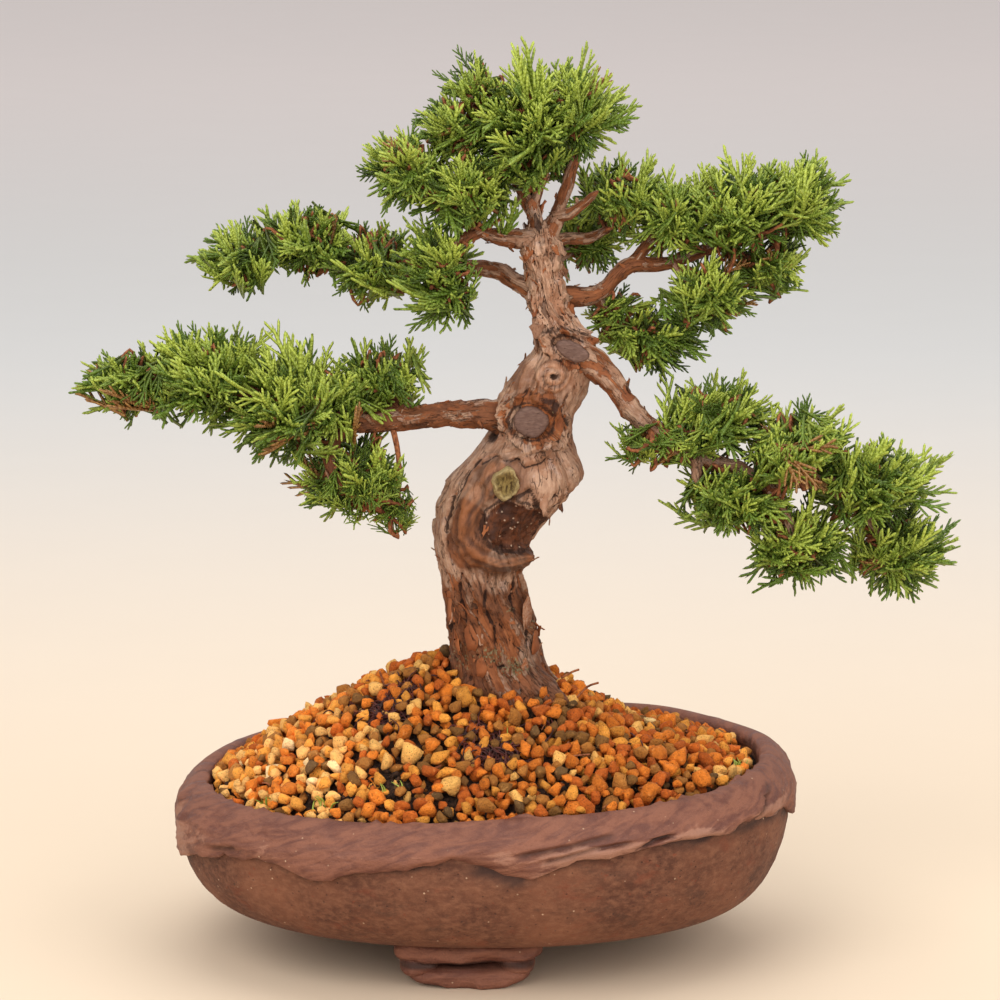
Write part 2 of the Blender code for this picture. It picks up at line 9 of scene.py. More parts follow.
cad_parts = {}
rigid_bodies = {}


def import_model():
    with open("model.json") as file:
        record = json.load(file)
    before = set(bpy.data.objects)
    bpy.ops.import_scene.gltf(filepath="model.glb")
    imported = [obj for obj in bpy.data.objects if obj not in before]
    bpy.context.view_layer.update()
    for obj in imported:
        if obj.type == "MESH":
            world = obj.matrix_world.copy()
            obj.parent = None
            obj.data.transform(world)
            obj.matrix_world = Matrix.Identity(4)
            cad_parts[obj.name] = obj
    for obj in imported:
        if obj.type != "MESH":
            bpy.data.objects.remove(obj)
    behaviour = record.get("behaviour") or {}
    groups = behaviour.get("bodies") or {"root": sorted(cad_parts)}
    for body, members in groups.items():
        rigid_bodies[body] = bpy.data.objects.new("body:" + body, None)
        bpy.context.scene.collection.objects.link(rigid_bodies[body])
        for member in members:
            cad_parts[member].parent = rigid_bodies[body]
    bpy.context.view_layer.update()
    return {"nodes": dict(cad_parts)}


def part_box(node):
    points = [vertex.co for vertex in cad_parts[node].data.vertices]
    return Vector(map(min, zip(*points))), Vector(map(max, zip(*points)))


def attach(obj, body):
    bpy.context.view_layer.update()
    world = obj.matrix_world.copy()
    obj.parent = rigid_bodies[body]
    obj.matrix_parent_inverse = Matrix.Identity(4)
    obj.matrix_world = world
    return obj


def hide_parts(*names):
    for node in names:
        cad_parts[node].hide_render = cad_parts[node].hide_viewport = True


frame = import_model()

# Everything below is laid out in millimetres from the middle of the pot's underside,
# with the front of the tree towards -Y, and is turned into metres in the part's frame
# when a piece is made.
MM = 0.001
UP = np.array([0.0, 0.0, 1.0])


def middle(node):
    low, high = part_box(node)
    return (low + high) / 2


HOME = (middle("drain_mesh_left") + middle("drain_mesh_right")) / 2
HOME = np.array([HOME.x, HOME.y, 0.0])

# ---------------------------------------------------------------- numbers that wander

LATTICE = np.random.default_rng(7).uniform(-1.0, 1.0, (32, 32, 32))


def wander(points, size, seed=0.0, octaves=3, fade=0.5):
    """Smooth uneven numbers, about -1 to 1, with humps of about the given size."""
    place = np.atleast_2d(np.asarray(points, float)) / np.asarray(size, float) + seed * 7.31
    total, weight, whole = 0.0, 1.0, 0.0
    for _ in range(octaves):
        corner = np.floor(place).astype(int)
        part = place - corner
        part = part * part * (3.0 - 2.0 * part)
        value = 0.0
        for dx in (0, 1):
            wx = part[:, 0] if dx else 1.0 - part[:, 0]
            for dy in (0, 1):
                wy = part[:, 1] if dy else 1.0 - part[:, 1]
                for dz in (0, 1):
                    wz = part[:, 2] if dz else 1.0 - part[:, 2]
                    x, y, z = ((corner + (dx, dy, dz)) % 32).T
                    value = value + wx * wy * wz * LATTICE[x, y, z]
        total = total + weight * value
        whole += weight
        weight *= fade
        place = place * 2.03 + 5.7
    return 1.7 * total / whole


def ramp(value, low, high):
    """0 below low, 1 above high, and a soft step between them."""
    t = np.clip((np.asarray(value, float) - low) / (high - low), 0.0, 1.0)
    return t * t * (3.0 - 2.0 * t)


def hump(distance, width):
    return np.exp(-(np.asarray(distance) / width) ** 2)


def unit(v):
    v = np.asarray(v, float)
    return v / np.maximum(np.linalg.norm(v, axis=-1, keepdims=True), 1e-9)


def through(values, steps):
    """Points on a smooth curve through every given point, steps to each stretch."""
    v = np.asarray(values, float)
    before = np.vstack([v[:1], v[:-2]])
    after = np.vstack([v[2:], v[-1:]])
    t = (np.arange(steps) / steps)[None, :, None]
    a, b, c, d = (part[:, None, :] for part in (before, v[:-1], v[1:], after))
    curve = b + 0.5 * t * (c - a + t * (2 * a - 5 * b + 4 * c - d + t * (3 * (b - c) + d - a)))
    return np.vstack([curve.reshape(-1, v.shape[1]), v[-1:]])


def to_line(points, line):
    """Distance from each point to a line of straight runs, and how far along it is, 0 to 1."""
    line = np.asarray(line, float)
    best = np.full(len(points), 1e9)
    share = np.zeros(len(points))
    for i in range(len(line) - 1):
        run = line[i + 1] - line[i]
        t = np.clip(((points - line[i]) @ run) / (run @ run), 0.0, 1.0)
        gap = np.linalg.norm(points - line[i] - t[:, None] * run, axis=1)
        share = np.where(gap < best, (i + t) / (len(line) - 1), share)
        best = np.minimum(best, gap)
    return best, share


# ---------------------------------------------------------------- making pieces


def keep_marks(mesh, marks):
    """Store numbers or vectors on the points, for the finishes and the node trees to read."""
    for name, values in marks.items():
        values = np.asarray(values, np.float32)
        kind, field = ("FLOAT", "value") if values.ndim == 1 else ("FLOAT_VECTOR", "vector")
        mesh.attributes.new(name, kind, "POINT").data.foreach_set(field, values.ravel())


def piece(name, points, faces, finish, marks=None, edges=()):
    """A mesh from millimetre points, standing in the part's frame."""
    mesh = bpy.data.meshes.new(name)
    mesh.from_pydata(np.asarray(points, float) * MM + HOME, edges, faces)
    keep_marks(mesh, marks or {})
    if finish is not None:
        mesh.materials.append(finish)
    mesh.shade_smooth()
    item = bpy.data.objects.new(name, mesh)
    bpy.context.scene.collection.objects.link(item)
    return item


def fit(item, slot, *nodes):
    """Fix a finished piece to the tree, in the place of the plain solids it stands for."""
    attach(item, "root")
    if nodes:
        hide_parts(*nodes)
    return item


def skin(rings, closed_ends=True):
    """Points and faces over rings of equal length, going up with each ring anticlockwise."""
    rings = np.asarray(rings, float)
    rows, around = rings.shape[:2]
    k = np.arange(rows * around).reshape(rows, around)
    turned = np.roll(k, -1, axis=1)
    faces = np.stack([k[:-1], turned[:-1], turned[1:], k[1:]], -1).reshape(-1, 4).tolist()
    points = rings.reshape(-1, 3)
    if closed_ends:
        points = np.vstack([points, rings[0].mean(0), rings[-1].mean(0)])
        low, high = rows * around, rows * around + 1
        faces += [(low, j, i) for i, j in zip(k[0], turned[0])]
        faces += [(high, i, j) for i, j in zip(k[-1], turned[-1])]
    return points, faces


def spread(values, closed_ends=True):
    """Numbers given for each ring point, laid out as skin() lays its points out."""
    values = np.asarray(values, float)
    flat = values.reshape(-1, *values.shape[2:])
    if not closed_ends:
        return flat
    return np.concatenate([flat, values[:1].mean(1), values[-1:].mean(1)])


def join_up(parts):
    """Several (points, faces, marks) as one."""
    points, faces, count = [], [], 0
    for p, f, _ in parts:
        faces += [tuple(i + count for i in face) for face in f]
        points.append(p)
        count += len(p)
    names = parts[0][2].keys()
    marks = {n: np.concatenate([m[n] for _, _, m in parts]) for n in names}
    return np.vstack(points), faces, marks


# ---------------------------------------------------------------- node trees


class Wash:
    """A node socket that can be used in a Python expression."""

    def __init__(self, web, socket):
        self.web = web
        self.socket = socket

    def work(self, operation, *values):
        return self.web.node("ShaderNodeMath", {"operation": operation}, values)

    def __add__(self, other):
        return self.work("ADD", self, other)

    def __sub__(self, other):
        return self.work("SUBTRACT", self, other)

    def __rsub__(self, other):
        return self.work("SUBTRACT", other, self)

    def __mul__(self, other):
        return self.work("MULTIPLY", self, other)

    __radd__ = __add__
    __rmul__ = __mul__

    def size(self):
        return self.work("ABSOLUTE", self)

    def wave(self):
        return self.work("SINE", self)

    def step(self, low, high):
        """0 below low, 1 above high, softly between."""
        return self.web.node(
            "ShaderNodeMapRange", {"interpolation_type": "SMOOTHSTEP"},
            {"Value": self, "From Min": low, "From Max": high},
        )


class Web:
    """A node tree under construction."""

    def node(self, kind, settings=None, values=(), output=0):
        """A node: its settings first, then the values or links of its sockets."""
        made = self.tree.nodes.new(kind)
        for key, value in (settings or {}).items():
            setattr(made, key, value)
        for key, value in values.items() if isinstance(values, dict) else enumerate(values):
            if isinstance(value, Wash):
                self.tree.links.new(value.socket, made.inputs[key])
            else:
                made.inputs[key].default_value = value
        return Wash(self, made.outputs[output])


class Growth(Web):
    """A Geometry Nodes tree, which ends as plain mesh in one finish."""

    def __init__(self, name, inputs):
        self.tree = bpy.data.node_groups.new(name, "GeometryNodeTree")
        self.names = {}
        for label, kind in {"Geometry": "Geometry", **inputs, "Finish": "Material"}.items():
            made = self.tree.interface.new_socket(label, in_out="INPUT", socket_type=f"NodeSocket{kind}")
            self.names[label] = made.identifier
        self.tree.interface.new_socket("Geometry", in_out="OUTPUT", socket_type="NodeSocketGeometry")
        self.inlet = self.tree.nodes.new("NodeGroupInput")

    def given(self, label):
        return Wash(self, self.inlet.outputs[label])

    def mark(self, name, kind="FLOAT"):
        return self.node("GeometryNodeInputNamedAttribute", {"data_type": kind}, {"Name": name})

    def close(self, geometry):
        real = self.node("GeometryNodeRealizeInstances", None, [geometry])
        smooth = self.node("GeometryNodeSetShadeSmooth", None, [real])
        done = self.node(
            "GeometryNodeSetMaterial", None, {"Geometry": smooth, "Material": self.given("Finish")},
        )
        self.tree.links.new(done.socket, self.tree.nodes.new("NodeGroupOutput").inputs[0])
        return self

    def grow(self, item, **values):
        """Run the tree on a piece and keep the result as the piece's own mesh."""
        modifier = item.modifiers.new(self.tree.name, "NODES")
        modifier.node_group = self.tree
        for label, value in values.items():
            modifier[self.names[label]] = value
        bpy.context.view_layer.update()
        ready = item.evaluated_get(bpy.context.evaluated_depsgraph_get())
        mesh = bpy.data.meshes.new_from_object(ready)
        item.modifiers.remove(modifier)
        item.data = mesh
        return item


def strewing():
    """Sets one of several shapes on every point, turned, sized and picked by its marks."""
    growth = Growth("strewing", {"Shapes": "Collection", "Size": "Float"})
    shapes = growth.node(
        "GeometryNodeCollectionInfo", None,
        {"Collection": growth.given("Shapes"), "Separate Children": True, "Reset Children": True},
    )
    turn = growth.node("FunctionNodeEulerToRotation", None, [growth.mark("turn", "FLOAT_VECTOR")])
    size = growth.node(
        "ShaderNodeVectorMath", {"operation": "SCALE"},
        {0: growth.mark("size", "FLOAT_VECTOR"), "Scale": growth.given("Size")},
    )
    return growth.close(growth.node("GeometryNodeInstanceOnPoints", None, {
        "Points": growth.given("Geometry"), "Instance": shapes, "Pick Instance": True,
        "Instance Index": growth.mark("kind", "INT"), "Rotation": turn, "Scale": size,
    }))


def threading():
    """Draws a round stem along every line of edges, as thick as the line's own mark says."""
    growth = Growth("threading", {"Sides": "Int", "Thickness": "Float"})
    lines = growth.node("GeometryNodeMeshToCurve", None, [growth.given("Geometry")])
    section = growth.node(
        "GeometryNodeCurvePrimitiveCircle", None, {"Resolution": growth.given("Sides"), "Radius": 1.0},
    )
    return growth.close(growth.node("GeometryNodeCurveToMesh", None, {
        "Curve": lines, "Profile Curve": section, "Scale": growth.mark("thick") * growth.given("Thickness"),
        "Fill Caps": True,
    }))


STREWING = strewing()
THREADING = threading()


def shape_set(name, shapes):
    """A hidden set of small shapes for strewing; each is (points, faces, marks) of size 1."""
    group = bpy.data.collections.new(name)
    for i, (points, faces, marks) in enumerate(shapes):
        mesh = bpy.data.meshes.new(f"{name}_{i:02d}")
        mesh.from_pydata(points, [], faces)
        keep_marks(mesh, marks)
        group.objects.link(bpy.data.objects.new(f"{name}_{i:02d}", mesh))
    return group


def strew(name, shapes, finish, points, turns, sizes, kinds, marks=None):
    """A piece made of many small shapes."""
    points = np.asarray(points, float)
    sizes = np.asarray(sizes, float)
    if sizes.ndim == 1:
        sizes = np.repeat(sizes[:, None], 3, 1)
    carried = {"turn": turns, "size": sizes, **(marks or {})}
    item = piece(name, points, [], None, carried)
    kind = item.data.attributes.new("kind", "INT", "POINT")
    kind.data.foreach_set("value", np.asarray(kinds, np.int32))
    STREWING.grow(item, Shapes=shapes, Size=MM, Finish=finish)
    return tidy_marks(item, ("turn", "size", "kind"))


def thread(name, lines, finish, sides=5, marks=None):
    """A piece of thin round stems; each line is a row of (x, y, z, thickness) points."""
    points, edges, thick, carried = [], [], [], {key: [] for key in (marks or {})}
    for i, line in enumerate(lines):
        start = len(points)
        points += [p[:3] for p in line]
        thick += [p[3] for p in line]
        edges += [(start + k, start + k + 1) for k in range(len(line) - 1)]
        for key in carried:
            carried[key] += [marks[key][i]] * len(line)
    item = piece(name, points, [], None, {"thick": thick, **carried}, edges)
    THREADING.grow(item, Sides=sides, Thickness=MM, Finish=finish)
    return tidy_marks(item, ("thick",))


def tidy_marks(item, names):
    for name in names:
        found = item.data.attributes.get(name)
        if found:
            item.data.attributes.remove(found)
    return item


def turn_to(forward, normal):
    """Euler angles that put a shape's +Y along forward and its +Z as near normal as can be."""
    y = Vector(forward).normalized()
    x = y.cross(Vector(normal))
    x = x.normalized() if x.length > 1e-6 else y.orthogonal().normalized()
    z = x.cross(y)
    return tuple(Matrix((x, y, z)).transposed().to_euler())


# ---------------------------------------------------------------- finishes


class Finish(Web):
    """A material under construction."""

    def __init__(self, name, **fixed):
        self.material = bpy.data.materials.new(name)
        self.material.use_nodes = True
        self.tree = self.material.node_tree
        self.shader = self.tree.nodes["Principled BSDF"]
        for socket, value in fixed.items():
            self.shader.inputs[socket.replace("_", " ")].default_value = value
        self.here = self.node("ShaderNodeTexCoord", output="Object")

    def mark(self, name, output="Fac"):
        return self.node("ShaderNodeAttribute", {"attribute_name": name}, output=output)

    def stretched(self, where, sizes):
        """Coordinates for a pattern whose marks are the given sizes, in millimetres."""
        scale = tuple(1.0 / (MM * s) for s in sizes)
        return self.node("ShaderNodeMapping", None, {"Vector": where, "Scale": scale})

    def cloud(self, where, sizes, detail=3.0, rough=0.55, warp=0.0):
        """Soft noise, 0 to 1, with marks of the given sizes."""
        sizes = sizes if isinstance(sizes, tuple) else (sizes,) * 3
        values = {
            "Vector": self.stretched(where, sizes), "Scale": 1.0, "Detail": detail, "Roughness": rough,
            "Distortion": warp,
        }
        return self.node("ShaderNodeTexNoise", None, values)

    def cells(self, where, size):
        """Distance from the nearest of many scattered dots, about the given size apart."""
        values = {"Vector": self.stretched(where, (size,) * 3), "Scale": 1.0}
        return self.node("ShaderNodeTexVoronoi", {"feature": "F1"}, values)

    def blend(self, factor, one, other):
        """One colour going to another; a colour is (r, g, b) or a Wash."""
        one, other = (c if isinstance(c, Wash) else (*c, 1.0) for c in (one, other))
        return self.node("ShaderNodeMix", {"data_type": "RGBA"}, {0: factor, 6: one, 7: other}, output=2)

    def shade(self, factor, colour):
        """A colour made darker or lighter by a number."""
        colour = colour if isinstance(colour, Wash) else (*colour, 1.0)
        values = {0: colour, 3: factor}
        return self.node("ShaderNodeVectorMath", {"operation": "SCALE"}, values)

    def done(self, colour, roughness, relief, depth, strength=1.0):
        """Join the colour, the roughness and the fine relief, depth millimetres deep."""
        self.tree.links.new(colour.socket, self.shader.inputs["Base Color"])
        if isinstance(roughness, Wash):
            self.tree.links.new(roughness.socket, self.shader.inputs["Roughness"])
        else:
            self.shader.inputs["Roughness"].default_value = roughness
        bump = self.node(
            "ShaderNodeBump", None, {"Strength": strength, "Distance": depth * MM, "Height": relief}
        )
        self.tree.links.new(bump.socket, self.shader.inputs["Normal"])
        return self.material


def tint(red, green, blue):
    """A colour given in the usual 0 to 255 numbers, as light."""
    values = (c / 255.0 for c in (red, green, blue))
    return tuple(c / 12.92 if c < 0.04045 else ((c + 0.055) / 1.055) ** 2.4 for c in values)


def stoneware():
    """Unglazed purple-brown clay, with a darker slip brushed over the collar."""
    clay = Finish("stoneware", Specular_IOR_Level=0.35)
    here = clay.here
    slip = clay.mark("slip")
    worn = clay.mark("worn")
    shadow = clay.mark("shadow")
    broad = clay.cloud(here, 22.0, 4.0)
    mottle = clay.cloud(here, (2.4, 2.4, 1.6), 4.0, 0.65)
    grit = clay.cloud(here, 0.5, 2.0, 0.7)
    rust = clay.cloud(here, (9.0, 9.0, 5.0), 5.0, 0.6).step(0.55, 0.72)
    body = clay.blend(broad.step(0.3, 0.7), tint(78, 43, 29), tint(117, 72, 50))
    body = clay.blend(mottle.step(0.35, 0.75) * 0.6, body, tint(138, 92, 67))
    body = clay.blend(rust * 0.55, body, tint(116, 58, 36))
    stain = clay.cloud(here, (14.0, 14.0, 7.0), 5.0, 0.65).step(0.56, 0.7)
    body = clay.blend(stain * 0.6, body, tint(70, 44, 33))
    rusty = clay.cloud(here, 1.7, 2.0, 0.5).step(0.68, 0.76)
    body = clay.blend(rusty * 0.5, body, tint(124, 54, 30))
    smear = clay.cloud(here, (5.0, 5.0, 2.0), 5.0, 0.62, 0.6)
    brush = clay.cloud(clay.mark("stroke", "Vector"), (15.0, 2.6, 2.6), 5.0, 0.6, 0.9)
    strokes = slip + (smear - 0.5) * 1.3
    collar = clay.blend((brush * 0.75 + smear * 0.35).step(0.4, 0.66), tint(97, 55, 42), tint(131, 84, 65))
    rubbed = (worn * 1.2 + (broad - 0.5) * 1.6 + (brush - 0.5) * 1.4 + (smear - 0.5) * 1.0).step(0.45, 0.85)
    collar = clay.blend(rubbed * 0.75, collar, tint(158, 114, 93))
    colour = clay.blend(strokes.step(0.35, 0.62), body, collar)
    colour = clay.blend(shadow * 0.85, colour, tint(52, 31, 25))
    specks = clay.cells(here, 2.7).step(0.13, 0.06) * clay.cloud(here, 7.0, 1.0).step(0.52, 0.64)
    colour = clay.blend(specks * 0.8, colour, tint(196, 164, 134))
    pits = clay.cells(here, 2.3).step(0.13, 0.05) * (1.0 - slip)
    colour = clay.blend(pits * 0.6, colour, tint(60, 36, 28))
    colour = clay.shade(grit * 0.35 + 0.84, colour)
    relief = mottle * 0.7 + grit * 0.5 + (smear + brush * 0.9) * slip * 0.8 - pits * 0.8
    roughness = 0.78 - slip * brush.step(0.6, 0.35) * 0.26
    return clay.done(colour, roughness, relief, 0.4)


def humus():
    """Damp, crumbly, nearly black soil."""
    soil = Finish("humus", Specular_IOR_Level=0.3)
    crumb = soil.cloud(soil.here, 1.2, 4.0, 0.7)
    fibre = soil.cloud(soil.here, (2.6, 0.6, 0.9), 3.0, 0.6, 1.0)
    colour = soil.blend(crumb.step(0.35, 0.75), tint(30, 19, 13), tint(88, 59, 40))
    colour = soil.blend(fibre.step(0.62, 0.74) * 0.7, colour, tint(110, 74, 48))
    dust = soil.cells(soil.here, 1.7).step(0.2, 0.08) * soil.cloud(soil.here, 6.0, 1.0).step(0.52, 0.6)
    colour = soil.blend(dust, colour, tint(176, 150, 120))
    return soil.done(colour, 0.93, crumb + fibre, 0.9)


def grit():
    """Fired clay grains; each carries its own colour as a mark."""
    stone = Finish("grit", Specular_IOR_Level=0.3)
    own = stone.mark("tint", "Vector")
    dusty = stone.cloud(stone.here, 1.5, 5.0, 0.7)
    fine = stone.cloud(stone.here, 0.45, 3.0, 0.7)
    pores = stone.cells(stone.here, 0.9)
    colour = stone.shade(dusty * 1.2 + fine * 0.5 + 0.24, own)
    colour = stone.blend(dusty.step(0.56, 0.74) * 0.45, colour, tint(232, 172, 104))
    colour = stone.blend(dusty.step(0.45, 0.28) * 0.4, colour, tint(112, 62, 26))
    colour = stone.blend(pores.step(0.3, 0.1) * 0.5, colour, tint(78, 38, 16))
    return stone.done(colour, 0.88, dusty * 1.3 + fine * 0.7 + pores * 0.5, 0.6)


def bark():
    """Peeling juniper bark: pale weathered skin over cinnamon underbark, torn along the grain."""
    peel = Finish("bark", Specular_IOR_Level=0.28)
    grain = peel.mark("grain", "Vector")
    pale = peel.mark("pale")
    raw = peel.mark("raw")
    dark = peel.mark("dark")
    moss = peel.mark("moss")
    strand = peel.cloud(grain, (1.1, 1.1, 9.0), 5.0, 0.6, 0.5)
    sliver = peel.cloud(grain, (2.4, 2.4, 8.0), 4.0, 0.6, 0.8)
    patch = peel.cloud(peel.here, 5.5, 4.0, 0.6)
    dust = peel.cloud(peel.here, 0.9, 3.0, 0.7)
    aged = peel.mark("aged")
    smooth = peel.mark("smooth")
    ring = peel.mark("ring")
    rust = peel.mark("rust")
    scar = peel.mark("scar")
    skin_tone = peel.cloud(grain, (3.2, 3.2, 5.0), 5.0, 0.62, 0.8)
    streak = strand * (1.0 - smooth * 0.85) + skin_tone * (smooth * 0.85)
    under = peel.blend(streak.step(0.28, 0.72), tint(120, 64, 34), tint(184, 112, 66))
    under = peel.blend(patch.step(0.5, 0.75) * 0.6, under, tint(128, 64, 32))
    weathered = peel.blend(streak.step(0.25, 0.68), tint(122, 76, 48), tint(206, 166, 138))
    weathered = peel.blend(patch.step(0.46, 0.62) * 0.7, weathered, tint(156, 106, 76))
    weathered = peel.blend(
        peel.cloud(peel.here, 3.0, 3.0, 0.6).step(0.55, 0.66) * 0.5, weathered, tint(196, 166, 150)
    )
    edge_noise = sliver * (1.0 - smooth * 0.7) + skin_tone * (smooth * 0.7)
    split = (pale + (edge_noise - 0.5) * 1.5 + (dust - 0.5) * 0.25).step(0.44, 0.56)
    colour = peel.blend(split, under, weathered)
    cinnamon = peel.blend((patch * 0.6 + streak * 0.5).step(0.35, 0.7), tint(82, 44, 25), tint(150, 91, 56))
    colour = peel.blend(
        (rust + (patch - 0.5) * 0.6 + (edge_noise - 0.5) * 0.6).step(0.35, 0.65) * 0.92, colour, cinnamon
    )
    # The ring mark sets this colour: the knot's own rings, and on the callus a painted highlight on the
    # crests and painted shade in the valleys.
    callus = peel.blend((ring + (strand - 0.5) * 0.5).step(0.2, 0.85), tint(62, 32, 17), tint(150, 92, 54))
    colour = peel.blend(raw * 0.9, colour, callus)
    crack = (peel.cloud(grain, (2.0, 2.0, 13.0), 3.0, 0.6, 1.4) - 0.5).size()
    crack = crack.step(0.02, 0.003) * sliver.step(0.42, 0.55) * (1.0 - raw) * (1.0 - smooth * 0.2)
    colour = peel.blend(crack * 0.8, colour, tint(48, 24, 15))
    # Darkening from the dark mark: partly the bark's own dark cracks, splits and patches, partly painted
    # shade in grooves, folds and hollows, under torn edges and on the limbs' undersides.
    dark_bark_and_painted_shade = (dark + (patch - 0.5) * 0.7 + (dust - 0.5) * 0.5).step(0.44, 0.7)
    colour = peel.blend(dark_bark_and_painted_shade * 0.88, colour, tint(46, 24, 15))
    burnt = peel.blend(skin_tone.step(0.35, 0.65), tint(58, 30, 18), tint(108, 60, 34))
    burnt = peel.blend(peel.cells(peel.here, 1.9).step(0.2, 0.1) * 0.8, burnt, tint(206, 176, 150))
    colour = peel.blend((scar + (patch - 0.5) * 0.9 + (dust - 0.5) * 0.5).step(0.35, 0.75), colour, burnt)
    lichen = (moss + (dust - 0.5) * 1.4).step(0.5, 0.68)
    crust = peel.blend(dust.step(0.4, 0.62), tint(46, 38, 26), tint(150, 138, 100))
    colour = peel.blend(lichen, colour, crust)
    colour = peel.shade((dust * 0.4 + 0.8) * (1.0 - aged * 0.3), colour)
    relief = streak * 0.7 + edge_noise * 0.5 + split * 0.8 - crack * 1.2 + dust * 0.3
    return peel.done(colour, 0.74 - raw * 0.24 - scar * 0.12, relief, 0.4)


def greens():
    """Scale leaves: dark inside the pads (painted shade), fresh green outside and lighter on top (painted
    light), yellow-green at the tips.
    """
    leaf = Finish("greens", Specular_IOR_Level=0.45, Subsurface_Weight=0.0)
    tone = leaf.mark("tone")
    along = leaf.mark("along")
    bead = leaf.mark("bead")
    dry = leaf.mark("dry")
    mottle = leaf.cloud(leaf.here, 1.1, 3.0, 0.6)
    drift = leaf.cloud(leaf.here, 11.0, 2.0)
    # The tone mark is painted light and shade: high on shoots facing up, low inside the pads; it also
    # changes at random.
    light = tone * 0.75 + along * 0.3 + (drift - 0.5) * 0.5 + (mottle - 0.5) * 0.3
    colour = leaf.blend(light.step(0.0, 0.5), tint(34, 48, 15), tint(97, 124, 35))
    colour = leaf.blend(light.step(0.4, 1.0), colour, tint(180, 194, 76))
    scales = bead.wave()
    colour = leaf.shade(scales * 0.08 + 0.93, colour)
    colour = leaf.blend((1.0 - along) * (1.0 - along) * 0.35, colour, tint(104, 104, 38))
    straw = leaf.blend(mottle.step(0.35, 0.7), tint(122, 76, 36), tint(176, 134, 74))
    colour = leaf.blend(dry, colour, straw)
    return leaf.done(colour, 0.46, scales * 0.6 + mottle * 0.8, 0.2, 0.7)


def twig_wood():
    """Thin reddish shoots."""
    wood = Finish("twig_wood", Specular_IOR_Level=0.3)
    ring = wood.cloud(wood.here, 1.3, 4.0, 0.65)
    colour = wood.blend(ring.step(0.3, 0.7), tint(92, 46, 26), tint(170, 104, 64))
    return wood.done(colour, 0.75, ring, 0.3)


def root_hair():
    hair = Finish("root_hair", Specular_IOR_Level=0.4)
    change = hair.cloud(hair.here, 2.0, 3.0)
    colour = hair.blend(change.step(0.35, 0.7), tint(38, 12, 10), tint(96, 38, 26))
    return hair.done(colour, 0.55, change, 0.1)


def sealing_paste():
    """Brown wound paste, with brush drags and a few set bubbles."""
    paste = Finish("sealing_paste", Specular_IOR_Level=0.35)
    drag = paste.cloud(paste.here, (1.8, 1.8, 0.6), 4.0, 0.6, 0.4)
    dots = paste.cells(paste.here, 1.4).step(0.14, 0.05)
    colour = paste.blend(drag.step(0.3, 0.75), tint(92, 66, 56), tint(118, 90, 78))
    colour = paste.blend(dots * 0.6, colour, tint(70, 46, 38))
    return paste.done(colour, 0.68, drag - dots, 0.25)


def cut_wood():
    """The sawn end of the old stub: dry, dull yellow and rough."""
    end = Finish("cut_wood", Specular_IOR_Level=0.25)
    rough_wood = end.cloud(end.here, (0.7, 2.5, 1.8), 5.0, 0.65, 0.6)
    stain = end.cloud(end.here, 2.2, 3.0)
    colour = end.blend(rough_wood.step(0.35, 0.6), tint(78, 58, 30), tint(152, 128, 74))
    colour = end.blend(end.mark("rim") * 0.7, colour, tint(186, 164, 116))
    colour = end.blend(stain.step(0.5, 0.7) * 0.7, colour, tint(112, 84, 44))
    return end.done(colour, 0.8, rough_wood * 1.5, 0.7)


def plastic_mesh():
    mesh = Finish("plastic_mesh", Specular_IOR_Level=0.5)
    dirt = mesh.cloud(mesh.here, 3.0, 4.0, 0.6)
    colour = mesh.blend(dirt.step(0.45, 0.75), tint(22, 24, 22), tint(84, 66, 50))
    return mesh.done(colour, 0.5 + dirt * 0.3, dirt, 0.1)


def tie_wire():
    wire = Finish("tie_wire", Metallic=1.0)
    dull = wire.cloud(wire.here, 1.5, 3.0, 0.6)
    colour = wire.blend(dull.step(0.3, 0.7), tint(120, 84, 62), tint(176, 128, 96))
    return wire.done(colour, 0.35 + dull * 0.25, dull, 0.05)


def studio_paper():
    """A pale floor, warm around the pot and cooler far behind it."""
    paper = Finish("studio_paper", Specular_IOR_Level=0.1)
    far = paper.mark("far")
    fibre = paper.cloud(paper.here, 40.0, 3.0)
    colour = paper.blend(far.step(0.0, 0.42), tint(222, 202, 177), tint(205, 203, 199))
    colour = paper.blend(far.step(0.4, 0.95), colour, tint(230, 220, 214))
    colour = paper.shade(fibre * 0.02 + 0.99, colour)
    return paper.done(colour, 0.9, fibre, 0.01)


STONEWARE = stoneware()
HUMUS = humus()
GRIT = grit()
BARK = bark()
GREENS = greens()
TWIG_WOOD = twig_wood()
ROOT_HAIR = root_hair()
SEALING_PASTE = sealing_paste()
CUT_WOOD = cut_wood()

# ---------------------------------------------------------------- the pot

